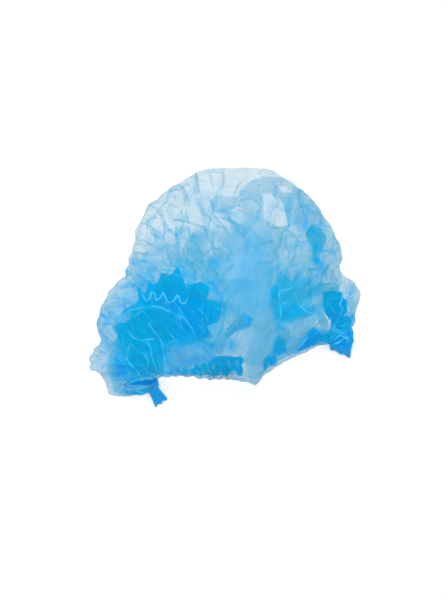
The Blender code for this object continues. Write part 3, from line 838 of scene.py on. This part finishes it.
dark_dots = fold(spots(
    (133, 347), (138, 343), (145, 345), (149, 352), (148, 360), (143, 364), (136, 362), (132, 355),
), plies=2.0, lift=0.0020, over=True, calm=0.0, seed=158, dotted=14.0, soft=0.006, border=0.2)
right_deep = fold(spots(
    (267, 296), (273, 285), (277, 272), (283, 269), (288, 277), (300, 275), (310, 280), (318, 283),
    (330, 283), (338, 286), (340, 296), (336, 306), (328, 311), (320, 311), (320, 294), (313, 293),
    (312, 313), (300, 318), (288, 323), (286, 333), (280, 326), (275, 318), (269, 307),
), plies=3.1, lift=0.0034, seed=160, soft=0.006, border=0.3)
right_darker = fold(spots(
    (276, 282), (284, 276), (290, 282), (288, 290), (292, 300), (300, 308), (312, 313), (300, 318),
    (288, 321), (278, 318), (277, 300),
), plies=2.6, lift=0.0044, seed=165, calm=0.7)
right_blue = fold(spots(
    (320, 292), (330, 291), (340, 292), (341, 298), (345, 300), (346, 312), (341, 317), (336, 319),
    (328, 320), (323, 314), (320, 305),
), plies=26.0, lift=0.0044, calm=0.8, seed=170, soft=0.0012, border=0.6, crinkle=0.0004)
right_crumple = fold(spots(
    (330, 319), (338, 316), (345, 315), (350, 320), (352, 330), (352, 340), (350, 347), (341, 346),
    (330, 344), (325, 343), (318, 345), (316, 338), (322, 335), (328, 330),
), plies=22.0, lift=0.0030, calm=1.6, seed=180, soft=0.003, border=0.5)
corner = fold(spots(
    (311, 327), (317, 330), (321, 337), (326, 342), (315, 345), (306, 348), (296, 351), (298, 345),
    (303, 338), (306, 332),
), plies=15.0, lift=0.0024, calm=0.4, seed=190, soft=0.0015, border=0.6, crinkle=0.0004)
front_gather = fold(spots(
    (170, 371), (174, 368), (178, 370), (182, 366), (186, 369), (190, 366), (194, 368), (197, 361),
    (201, 366), (204, 358), (208, 363), (212, 358), (215, 355), (224, 354), (232, 354), (241, 354),
    (243, 358), (241, 363), (243, 369), (240, 374), (237, 371), (234, 367), (231, 369), (228, 374),
    (220, 372), (214, 376), (208, 372), (202, 374), (195, 373), (186, 375), (178, 373),
), plies=15.0, lift=0.0016, calm=0.8, seed=200, soft=0.001, border=0.7, crinkle=0.0006)
rim_fold = fold(spots(
    (262, 357), (268, 354), (275, 353), (276, 358), (275, 365), (270, 364), (267, 361), (265, 371),
    (262, 366),
), plies=12.0, lift=0.0016, calm=0.3, seed=205, soft=0.001, border=0.6, crinkle=0.0003)
below_roll = fold(spots(
    (272, 337), (278, 333), (284, 340), (285, 350), (279, 354), (269, 352), (270, 345),
), plies=7.0, lift=0.0024, calm=0.4, seed=206, soft=0.003, border=0.2)
slope = fold(spots(
    (274, 323), (286, 327), (290, 338), (284, 346), (279, 353), (271, 352), (273, 338),
), plies=3.5, lift=0.0018, calm=0.5, seed=210)
print("folds inside:", len(shade.points) + len(back.points), "points in the two largest")

# %% [markdown]
# ## Folds laid over the crown
# A few folds lie on top, where they hide the deep blue: one smooth turned-over band in the middle,
# another beside it, and small turned-up corners. They are made as the inner ones are, lifted off
# the crown and tinted paler.

# %% Folds that lie over the upper layer
smooth_band = fold(spots(
    (254, 264), (262, 261), (270, 265), (272, 275), (268, 286), (267, 296), (268, 306), (271, 316),
    (274, 326), (271, 340), (268, 350), (262, 358), (262, 370), (258, 379), (255, 384), (250, 380),
    (246, 368), (244, 357), (247, 345), (253, 330), (255, 310), (255, 290), (254, 276),
), plies=1.4, lift=0.0012, over=True, calm=0.3, seed=220, tone=0.22, crinkle=0.0004)
side_band = fold(spots(
    (223, 281), (232, 280), (243, 280), (255, 281), (256, 300), (254, 322), (244, 328), (233, 333),
    (226, 340), (222, 352), (213, 352), (214, 345), (220, 335), (222, 318), (222, 300),
), plies=2.0, lift=0.0008, over=True, calm=0.3, seed=230, tone=0.22, crinkle=0.0004)
band_dots = fold(spots(
    (223, 333), (226, 328), (232, 321), (238, 316), (244, 311), (249, 315), (252, 319), (250, 324),
    (243, 327), (235, 330), (230, 334), (225, 336),
), plies=3.0, lift=0.0020, over=True, calm=0.0, seed=240, dotted=16.0, soft=0.0015, border=0.3,
    crinkle=0.0004)
light_patch = fold(spots(
    (208, 325), (214, 322), (220, 321), (220, 328), (216, 336), (211, 331),
), plies=4.0, lift=0.0016, over=True, calm=0.2, seed=245, tone=0.5, crinkle=0.0002)
pouch_patch = fold(spots(
    (119, 318), (127, 313), (134, 311), (133, 321), (124, 323), (117, 324),
), plies=5.0, lift=0.0016, over=True, calm=0.3, seed=246, tone=0.5, soft=0.003, border=0.3)
pouch = fold(spots(
    (118, 318), (126, 313), (135, 309), (145, 307), (152, 306), (160, 308), (168, 311), (174, 314),
    (178, 322), (172, 334), (168, 350), (167, 364), (160, 374), (152, 370), (140, 362), (130, 350),
    (122, 336), (116, 327),
), plies=0.9, lift=0.0014, over=True, calm=0.8, seed=250)
mouth_pleats = fold(spots(
    (123, 386), (127, 380), (132, 377), (138, 375), (144, 374), (150, 374), (158, 374), (160, 385),
    (153, 391), (147, 393), (142, 395), (135, 394), (128, 394), (124, 391),
), plies=9.0, lift=0.0030, calm=0.5, seed=260, crinkle=0.0003)
mouth_shade = fold(spots(
    (129, 384), (134, 380), (140, 378), (146, 377), (158, 376), (159, 384), (151, 385), (142, 384),
    (135, 385),
), plies=24.0, lift=0.0024, calm=0.3, seed=265, soft=0.0015, border=0.5, crinkle=0.0003)
light_strip = fold(spots(
    (313, 291), (319, 290), (319, 305), (321, 315), (326, 320), (325, 325), (320, 327), (315, 323),
    (313, 318), (312, 303),
), plies=2.6, lift=0.0018, over=True, calm=0.6, tone=0.30, seed=270, crinkle=0.0006, soft=0.0016, border=0.3)
pocket_strip = fold(spots(
    (268, 290), (275, 284), (277, 292), (277, 305), (278, 318), (276, 327), (273, 326), (269, 312),
    (267, 300),
), plies=5.0, lift=0.0034, calm=0.3, seed=275, soft=0.0015, border=0.5, crinkle=0.0004)
pocket = fold(spots(
    (288, 290), (295, 292), (300, 306), (306, 311), (297, 315), (290, 319), (279, 320), (278, 308),
    (287, 303),
), plies=2.4, lift=0.0040, calm=0.4, seed=276, soft=0.003, border=0.3)
rolled = fold(spots(
    (279, 322), (290, 321), (300, 316), (312, 314), (313, 320), (309, 325), (303, 331), (299, 339),
    (295, 348), (290, 353), (284, 352), (284, 342), (283, 332),
), plies=2.6, lift=0.0014, over=True, calm=0.7, tone=0.45, seed=280, crinkle=0.0006, soft=0.0020, border=0.3)
folds = [
    shade, right_spots, middle, middle_low, back, back_core, dark_dots, right_deep, right_darker,
    pocket_strip, pocket, right_blue, right_crumple, corner, front_gather, rim_fold, below_roll, slope,
    smooth_band, side_band, band_dots, light_patch, pouch, pouch_patch, light_strip, rolled,
    mouth_pleats, mouth_shade]
print("folds:", [len(one.points) for one in folds])

# %% [markdown]
# ## Sharp pressed edges
# Where a fold is pressed flat, its edge catches the light or doubles the cloth in a thin line. Bump
# alone would leave nothing in the mesh, so each line is a narrow arched strip of the same cloth,
# laid along a smooth curve through a few points that were placed on the picture.

# %% A strip along a line
EDGE_GAP, EDGE_TAPER = 0.0008, 6
ACROSS, BULGE = np.array([-0.5, -0.22, 0.0, 0.22, 0.5]), np.array([0.0, 0.8, 1.0, 0.8, 0.0])


def curve_through(line):
    """A smooth line through a few points, or straight runs where there are only two or three."""
    arcs = length_along(line)
    at = np.linspace(0, arcs[-1], max(4, int(arcs[-1] / EDGE_GAP)))
    if len(line) < 4:
        return np.stack([np.interp(at, arcs, line[:, axis]) for axis in (0, 1)], axis=1)
    return through(arcs, line, at)


def edge(line, width=0.0025, rise=0.0002, plies=9.0, gleam=1.0, tone=0.0, lift=0.0007):
    """A sharp fold edge: a narrow arched strip along a line on the crown."""
    line = curve_through(spots(*line))
    ahead = unit(np.gradient(line, axis=0))
    side = np.stack([-ahead[:, 1], ahead[:, 0]], axis=1)
    from_end = np.minimum(np.arange(len(line)), np.arange(len(line))[::-1])
    taper = np.sqrt(np.clip(from_end / EDGE_TAPER, 0.15, 1))
    plan = line[:, None] + side[:, None] * (ACROSS[None, :, None] * width * taper[:, None, None])
    height = height_at(over_map, plan.reshape(-1, 2)).reshape(plan.shape[:2])
    height = height + lift + rise * BULGE * taper[:, None]
    points = np.concatenate([plan, height[:, :, None]], axis=2).reshape(-1, 3)
    soft = np.tile(BULGE, len(line)) * np.repeat(taper, len(BULGE))
    # Painted highlight: lit says how strongly each stretch of the edge catches the light; it sets the gleam
    # that paints the GLEAM colour and also thins the edge's plies.
    lit = np.clip(0.80 + 0.9 * noise(points, 0.020, 31), 0.2, 1.0)
    return part(points, grid_faces(len(line), len(BULGE)), plies * (0.15 + 0.85 * soft) * (0.5 + 0.5 * lit),
                tone=tone * soft, gleam=gleam * soft * lit)


# %% The lines of the picture, by how they look
# LIGHT_EDGES carry the painted highlight at full strength, FAINT and PALE edges less, TEETH a trace, DARK
# and SOFT edges none.
LIGHT_EDGES = [
    ((140, 295), (144, 292), (147, 297), (150, 300.5), (153, 298), (155, 292), (157.5, 294),
     (159.5, 300), (163, 298), (166, 293), (169, 299), (172, 302.5), (176, 301), (180, 295.5),
     (183, 302), (186, 303.5), (190, 298)),
    ((117, 318), (123, 316), (128, 313), (135, 309.5), (143, 308), (150, 306), (155, 305.5)),
    ((135, 318), (143, 312), (152, 306), (160, 306.5), (168, 309), (175, 313)),
    ((130, 330), (137, 336), (143, 338.5), (150, 338), (161, 337)),
    ((150, 320), (157, 330), (164, 340), (166, 352), (167, 364), (169, 374)),
    ((148, 338), (153, 345), (155, 356), (158, 366), (159, 373)),
    ((133, 340), (132.5, 347), (133, 354)), ((134, 340), (137, 347), (140, 351)),
    ((142, 348), (148, 353), (150.5, 358), (149, 367)),
    ((127, 352), (133, 362), (140, 370), (143, 376)), ((137, 286), (139, 284), (144, 286), (148, 285)),
    ((152, 279), (154, 277), (158, 278)), ((162, 274), (165, 271), (170, 272), (176, 272)),
    ((177, 268), (180, 266.5), (184, 268.5), (186, 274)), ((188, 281), (193, 284), (199, 281)),
    ((284, 282), (288, 286), (287, 289), (281, 290.5), (277, 292), (277, 300), (278, 310), (278, 318)),
    ((295, 294), (293, 299), (295, 304), (299, 308), (304, 311.5), (312, 313)),
    ((306.5, 303), (308, 308), (306, 311)),
    ((339, 292), (339, 300), (337, 304), (340, 309), (338, 315), (341, 317)),
    ((333, 321), (332, 328), (329, 334)), ((330, 332), (335, 329), (340, 333), (345, 330)),
    ((332, 340), (338, 335), (346, 338), (350, 334)), ((343, 331), (345, 337), (349, 341)),
    ((330, 344), (337, 342), (342, 338)), ((306, 331), (303, 338), (299, 344), (294, 349)),
    ((317, 337), (315, 343)), ((307.5, 341), (308, 346)),
    ((129, 383), (136, 379), (143, 377), (150, 376), (157, 375.5)),
    ((130, 386), (136, 389), (141, 391), (147, 391.5)),
]
FAINT_EDGES = [
    ((336, 322), (340, 326), (345, 323), (349, 326)), ((334, 327), (338, 331), (336, 336)),
    ((341, 327), (343, 331), (348, 330)), ((338, 318), (342, 320), (347, 318)),
    ((346, 322), (349, 328), (350, 334)), ((156, 342), (160, 350), (161, 360), (163, 372)),
    ((139, 352), (141, 360), (146, 368)), ((128, 342), (131, 350), (130, 358)),
    ((145, 362), (150, 370), (152, 375)), ((166, 345), (173, 340), (182, 338)),
    ((178, 312), (186, 318), (194, 328), (198, 338)), ((196, 305), (204, 312), (210, 322)),
    ((170, 330), (178, 338), (188, 343)), ((123, 330), (127, 338), (126, 347)),
    ((144, 318), (148, 326), (147, 334)), ((290, 290), (296, 289), (302, 293), (306, 300)),
    ((283, 304), (288, 309), (286, 316)), ((324, 297), (330, 299), (336, 297)),
    ((326, 306), (331, 310), (332, 316)), ((312, 344), (319, 341), (325, 343)),
]
PALE_EDGES = [
    ((222, 296), (222.5, 310), (221.5, 325)), ((226, 284), (232, 281), (240, 280.5), (249, 281)),
    ((268, 300), (270, 312), (274, 326), (271, 342), (267, 352)),
    ((264, 372), (270, 368), (277, 364), (286, 359)),
]
DARK_EDGES = [
    ((196, 174), (198, 186), (200, 196)), ((179, 186), (184, 191), (188, 200), (190, 207)),
    ((141, 226), (148, 226), (156, 232), (158, 240), (160, 247)),
    ((137, 243), (145, 242), (152, 246), (160, 249)),
    ((131, 254), (142, 254), (152, 257), (158, 254), (162, 246)), ((166, 224), (167, 240)),
    ((166, 231), (173, 233), (178, 238), (183, 235), (184, 228)),
    ((200, 206), (204, 216), (211, 222), (216, 228), (226, 232)),
    ((174, 223), (184, 224), (196, 228), (206, 231)),
    ((208, 199), (212, 206), (216, 222), (224, 230), (229, 240)), ((221, 221), (229, 223), (238, 228)),
    ((233, 201), (237, 190), (242, 184)), ((266, 223), (266, 230), (276, 231), (288, 229)),
    ((258, 248), (264, 245), (270, 247)), ((297, 204), (301, 214), (298, 222)),
    ((214, 250), (222, 256), (228, 262), (230, 270)), ((195, 270), (196, 280), (195, 286)),
    ((302, 272), (314, 270), (322, 268)), ((306, 286), (307, 298)), ((258, 178), (262, 172)),
    ((150, 206), (157, 210), (164, 220)), ((222, 170), (224, 180), (223, 192)),
    ((213, 251), (222, 252), (228, 259), (230, 265)), ((202, 265), (207, 270), (211, 275)),
    ((212, 240), (212, 247), (214, 254), (220, 260)), ((215, 266), (216, 272), (217, 279)),
    ((221, 277), (229, 270), (235, 266)), ((205, 230), (208, 237), (209, 244)),
    ((218, 221), (227, 224), (236, 228), (243, 232), (244, 243)), ((236, 212), (244, 217), (251, 221)),
    ((257, 249), (266, 244), (272, 246)), ((280, 234), (278, 245), (276, 252)),
    ((276, 230), (285, 234), (294, 237)), ((286, 268), (294, 266), (299, 264)),
    ((302, 275), (305, 271), (311, 270), (320, 270)), ((306, 276), (305, 284), (303, 291)),
    ((307, 289), (314, 287), (325, 284)), ((321, 268), (322, 276), (324, 283)),
    ((276, 270), (274, 277), (273, 284)), ((178, 250), (181, 257), (186, 263)),
    ((188, 244), (190, 252), (196, 260), (203, 266)), ((168, 252), (172, 258), (173, 266)),
    ((193, 262), (199, 270), (206, 273)),
]
SOFT_EDGES = [
    ((194, 235), (199, 246), (201, 253), (210, 260)), ((206, 237), (214, 249), (221, 260), (228, 265)),
    ((199, 228), (210, 235), (217, 239)), ((233, 231), (240, 237), (244, 244), (242, 253)),
    ((222, 221), (233, 226), (237, 235)), ((185, 260), (192, 267), (198, 274)),
    ((192, 271), (201, 274), (208, 285)), ((210, 274), (217, 278), (221, 285)),
    ((162, 203), (171, 206), (181, 212)), ((169, 189), (174, 196), (178, 205)),
    ((196, 174), (199, 187), (199, 198)), ((208, 172), (212, 183), (214, 192)),
    ((146, 215), (153, 219), (162, 221)), ((137, 244), (146, 248), (156, 246)),
    ((137, 255), (146, 256), (155, 253)), ((181, 187), (185, 196), (187, 208)),
    ((256, 235), (258, 244), (253, 253)), ((265, 237), (272, 246), (274, 260)),
    ((281, 237), (283, 248), (278, 260)), ((294, 246), (290, 260), (281, 267)),
    ((305, 267), (308, 278), (305, 285)), ((287, 271), (299, 274), (306, 269), (322, 267)),
    ((308, 289), (317, 287), (326, 285)),
]
TEETH = [
    ((227.5, 357), (229, 361), (229.5, 366)), ((235.5, 356), (236.5, 360), (236, 365)),
    ((207, 363), (210, 367), (212, 372)), ((229, 374), (231, 370), (232, 367)),
    ((197, 366), (199, 370), (201, 374)), ((219, 366), (221, 370), (222, 374)),
    ((181, 363), (183, 368), (184, 373)), ((189, 362), (190, 367), (192, 372)),
    ((174, 366), (176, 370), (177, 374)), ((213, 360), (214, 364), (215, 368)),
    ((203, 364), (204, 369), (206, 373)),
]

# %% All the edges, and the crown's mesh
edges = [edge(line, **look) for lines, look in (
    (LIGHT_EDGES, {}),
    (FAINT_EDGES, {"width": 0.0022, "plies": 5.0, "gleam": 0.7}),
    (PALE_EDGES, {"width": 0.0022, "plies": 1.6, "gleam": 0.5, "tone": 1.0}),
    (DARK_EDGES, {"width": 0.0028, "rise": 0.0003, "plies": 2.0, "gleam": 0.0}),
    (SOFT_EDGES, {"width": 0.0040, "plies": 1.1, "gleam": 0.0}),
    (TEETH, {"width": 0.0040, "rise": 0.0005, "plies": 5.0, "gleam": 0.1, "tone": 0.7, "lift": 0.0030}),
) for line in lines]
crown = cloth_object("crown_cloth", [crown_part, *folds, *edges], cloth_blue)

# %% [markdown]
# ## Hems and threads
# Along both edges the cloth is turned over an elastic thread, so the hem is a soft flat tube that
# zigzags with the gathers. It could be a swept curve, but then it would part from the cloth, so it
# is made from the cloth grid's own last rows.

# %% Hems as flat gathered tubes
HEM_WALL, HEM_SWELL, HEM_LOW = 0.0010, 0.0004, 0.0003
HEM_PALE, HEM_CALM, VALLEY_PLIES, FRONT_HEM_PLIES, BACK_HEM_PLIES = 0.5, 0.2, 0.4, 2.2, 0.6


def hem_part(rows, plies):
    """The hem's rows of the cloth as a closed flat tube, deeper blue in the gathers' valleys."""
    outer = cloth[:, rows]
    facing = normals_of(cloth)[:, rows]
    inner = outer - facing * HEM_WALL
    swollen = outer + facing * HEM_SWELL * np.sin(np.linspace(0, math.pi, outer.shape[1]))[None, :, None]
    ring = np.concatenate([swollen, inner[:, ::-1]], axis=1)
    ring[:, :, 2] = np.maximum(ring[:, :, 2], HEM_LOW)
    faces, first, last = tube_faces(*ring.shape[:2])
    points = ring.reshape(-1, 3)
    pleated = np.repeat(fine_valleys[:, :1] * darkened, ring.shape[1], axis=1).ravel()
    return part(points, [*faces, first, last[::-1]], plies * (1 + VALLEY_PLIES * pleated),
                tone=HEM_PALE * (1 - pleated), calm=HEM_CALM)


front_hem = cloth_object("front_hem_cloth", [hem_part(slice(0, HEM_ROWS + 1), FRONT_HEM_PLIES)], hem_blue)
back_hem = cloth_object("back_hem_cloth", [hem_part(slice(-HEM_ROWS - 1, None), BACK_HEM_PLIES)], hem_blue)


# %% Elastic threads inside the hems
def thread(name, line, radius, material, sides=8):
    """A round thread along a line."""
    ahead = unit(np.gradient(line, axis=0))
    side = unit(np.cross(ahead, (0.0, 0.0, 1.0)))
    up = np.cross(side, ahead)
    turns = np.linspace(0, 2 * math.pi, sides, endpoint=False)
    ring = line[:, None] + radius * (side[:, None] * np.cos(turns)[None, :, None]
                                     + up[:, None] * np.sin(turns)[None, :, None])
    faces, first, last = tube_faces(len(line), sides)
    return made_object(name, ring.reshape(-1, 3), [*faces, first[::-1], last], material)


thread_paint = Painter("elastic_thread")
where = thread_paint.node("ShaderNodeTexCoord", None, None, "Object")
wound = thread_paint.node("ShaderNodeTexWave", None, {"Vector": where, "Scale": 900.0, "Distortion": 1.0})
thread_white = thread_paint.finish(
    Base_Color=thread_paint.mix((0.78, 0.88, 0.95, 1.0), (0.55, 0.78, 0.93, 1.0), wound),
    Roughness=0.55,
    Normal=thread_paint.node("ShaderNodeBump", None, {"Strength": 0.4, "Distance": 0.0002,
                                                      "Height": wound}, "Normal"))
THREAD_RADIUS, THREAD_LOW, THREAD_DEPTH, THREAD_ENDS = 0.0004, 0.0008, 0.4, 8
facing = normals_of(cloth)
threads = []
for name, row in (("front_thread", HEM_ROWS // 2), ("back_thread", -HEM_ROWS // 2 - 1)):
    line = (cloth[:, row] - facing[:, row] * HEM_WALL * THREAD_DEPTH)[THREAD_ENDS:-THREAD_ENDS]
    line[:, 2] = np.maximum(line[:, 2], THREAD_LOW)
    threads.append(thread(name, line, THREAD_RADIUS, thread_white))

# %% [markdown]
# ## Welded tabs
# At each end the pleats are pressed together and melted into a stiff little strip that sticks out
# and widens or narrows towards its tip. It is built ring by ring: a domed bundle of ribs where it
# leaves the cap, a thin flat strip at the tip.

# %% The tabs' sizes and their material
TabStation = namedtuple("TabStation", "along width height bend")
LEFT_TAB = [TabStation(*row) for row in (
    (0.00, 0.78, 1.00, 0.00), (0.16, 0.80, 0.82, 0.00), (0.42, 0.80, 0.44, 0.00),
    (0.70, 0.90, 0.30, 0.00), (1.00, 1.04, 0.20, 0.00))]
RIGHT_TAB = [TabStation(*row) for row in (
    (0.00, 1.00, 1.00, 0.00), (0.20, 0.96, 0.76, 0.00), (0.50, 0.86, 0.46, 0.02),
    (0.78, 0.80, 0.32, 0.03), (1.00, 0.78, 0.24, 0.03))]
TAB_HEIGHT, TAB_PLEATS, PLEAT_DEPTH = 0.0165, 9, 0.0011
TAB_RINGS, POINTS_PER_PLEAT, TAB_TOP_LOW, TAB_LOW = 34, 8, 0.0009, 0.0003

weld = Painter("welded_pleats")
where = weld.node("ShaderNodeTexCoord", None, None, "Object")
pleat = weld.attribute("plies")
mottle = weld.node("ShaderNodeTexNoise", None, {"Vector": where, "Scale": 220.0, "Detail": 4.0})
press = weld.node("ShaderNodeTexVoronoi", None, {"Vector": where, "Scale": 620.0})
# Painted light and shade: the pleats' crests are lighter and their valleys darker, read from the crest
# values that the tabs store as plies.
crest_light_valley_shade = weld.steps(pleat + 1.2 * (mottle - 0.5), 0.0, 1.0, 0.1, 0.9)
weld_blue = weld.finish(
    Base_Color=weld.mix((0.0, 0.22, 0.64, 1.0), (0.005, 0.40, 0.80, 1.0), crest_light_valley_shade),
    Roughness=0.62, Specular_IOR_Level=0.25,
    Normal=weld.node("ShaderNodeBump", None, {"Strength": 0.5, "Distance": 0.0003,
                                              "Height": press + mottle}, "Normal"))


# %% A tab, ring by ring
def tab(name, end, stations, length, width, shift, aim, slant):
    """A tab from one end of the cap; it points along aim, and its tip is cut at a slant."""
    rim, fold_point = cloth[end, 0, :2], base[end, TOP_ROWS + HEM_ROWS, :2]
    middle = (rim + fold_point) / 2 + shift
    out = unit(np.array(aim))
    side = np.array([-out[1], out[0]])
    share = np.linspace(-0.5, 0.5, POINTS_PER_PLEAT * TAB_PLEATS + 1)
    dome = np.clip(1 - (2 * np.abs(share)) ** 4, 0, 1)
    rings, pleats = [], []
    for step in np.linspace(0, 1, TAB_RINGS):
        wide, high, bend = (smooth(stations, column, step) for column in ("width", "height", "bend"))
        centre = middle + length * (out * step + side * bend)
        phase = share * TAB_PLEATS + 0.25 * math.sin(9 * step) + 0.3 * np.sin(11 * share + 4 * step)
        crest = 0.5 + 0.5 * zigzag(phase)
        top = TAB_HEIGHT * high * (0.45 + 0.55 * dome) - PLEAT_DEPTH * (1 - crest) * (0.1 + 0.9 * high)
        top += 0.0006 * np.sin(13 * step + 17 * share) * (1 - step)
        plan = centre + side * (share * width * wide)[:, None]
        plan = plan + out * (0.0007 * np.sin(15 * share + 2) * step + slant * share * width * step)[:, None]
        upper = np.column_stack([plan, np.maximum(top, TAB_TOP_LOW)])
        lower = np.column_stack([plan, np.full(len(share), TAB_LOW)])
        rings.append(np.vstack([upper, lower[::-1]]))
        # Painted shade: the tab's underside gets half the crest values, so it is darker.
        pleats.append(np.concatenate([crest, 0.5 * crest[::-1]]))
    rings = np.array(rings)
    faces, first, last = tube_faces(*rings.shape[:2])
    return made_object(
        name, rings.reshape(-1, 3), [*faces, first[::-1], last], weld_blue, plies=np.concatenate(pleats))


left_tab = tab("left_tab_pleats", 0, LEFT_TAB, length=0.0200, width=0.0135, shift=(0.0003, 0.0030),
               aim=(0.60, -1.0), slant=-0.05)
right_tab = tab("right_tab_pleats", -1, RIGHT_TAB, length=0.0145, width=0.0250, shift=(0.0030, 0.0),
                aim=(0.0, -1.0), slant=0.33)

# %% [markdown]
# ## Tie the pieces to the frame
# The cap has no joints, so everything rides on its one body. Each piece says which CAD node it
# stands for.

# %% Ride and replace
pairs = (
    (crown, "crown", "cloth"), (front_hem, "front_hem", "hem"), (back_hem, "back_hem", "hem"),
    (threads[0], "front_elastic", "thread"), (threads[1], "back_elastic", "thread"),
    (left_tab, "left_tab", "weld"), (right_tab, "right_tab", "weld"),
)
for piece, node, slot in pairs:
    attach(piece, "root")
    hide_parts(node)
crown.visible_shadow = crown.visible_diffuse = False  # see the light's cell
print("pieces:", [piece.name for piece, _, _ in pairs])

# %% [markdown]
# ## Floor, light and camera
# A white floor lit softly from all round, a little stronger from the picture's top, where the
# photograph's light comes from. The crown throws no shadow and no blue light, because they left a
# blue halo round it and darkened the floor that shows through it. The camera looks straight down.

# %% Floor
floor_mesh = bpy.data.meshes.new("floor")
FLOOR_REACH = 3
floor_mesh.from_pydata(
    [(x * FLOOR_REACH, y * FLOOR_REACH, 0) for x, y in ((-1, -1), (1, -1), (1, 1), (-1, 1))],
    [], [(0, 1, 2, 3)])
floor = bpy.data.objects.new("floor", floor_mesh)
bpy.context.scene.collection.objects.link(floor)
floor_paint = Painter("white_paper")
grain = floor_paint.node("ShaderNodeTexNoise", None, {"Scale": 400.0})
floor_mesh.materials.append(floor_paint.finish(
    Base_Color=floor_paint.mix((0.97, 0.97, 0.97, 1.0), (0.99, 0.99, 0.99, 1.0), grain),
    Roughness=0.9, Specular_IOR_Level=0.0))

# %% Light
WORLD_STRENGTH = 0.74
KEY_PLACE, KEY_SIZE, KEY_POWER = (-0.12, 0.40, 1.5), 0.8, 9.8
world = bpy.data.worlds.new("studio")
world.use_nodes = True
world.node_tree.nodes["Background"].inputs["Color"].default_value = (1.0, 1.0, 1.0, 1.0)
world.node_tree.nodes["Background"].inputs["Strength"].default_value = WORLD_STRENGTH
bpy.context.scene.world = world

light = bpy.data.lights.new("key_panel", "AREA")
light.shape, light.size, light.energy = "DISK", KEY_SIZE, KEY_POWER
lamp = bpy.data.objects.new("key_panel", light)
lamp.location = KEY_PLACE
lamp.rotation_euler = (-Vector(KEY_PLACE)).to_track_quat("-Z", "Y").to_euler()
bpy.context.scene.collection.objects.link(lamp)
print("light: world", WORLD_STRENGTH, "and a key panel of", KEY_POWER, "W")

# %% Camera
FRAME_WIDTH, FRAME_HEIGHT = 448, 600
CAMERA_HEIGHT, SENSOR = 1.5, 0.036
camera_data = bpy.data.cameras.new("camera")
camera_data.sensor_width = SENSOR * 1000
camera_data.lens = SENSOR * 1000 * CAMERA_HEIGHT / (FRAME_HEIGHT * POINT)
camera = bpy.data.objects.new("camera", camera_data)
middle_of_picture = spot(FRAME_WIDTH / 2, FRAME_HEIGHT / 2)
camera.location = (*middle_of_picture, CAMERA_HEIGHT)
bpy.context.scene.collection.objects.link(camera)
bpy.context.scene.camera = camera
bpy.context.scene.view_settings.view_transform = "Standard"
bpy.context.scene.cycles.transparent_max_bounces = 32
print("lens", round(camera_data.lens, 1), "mm")
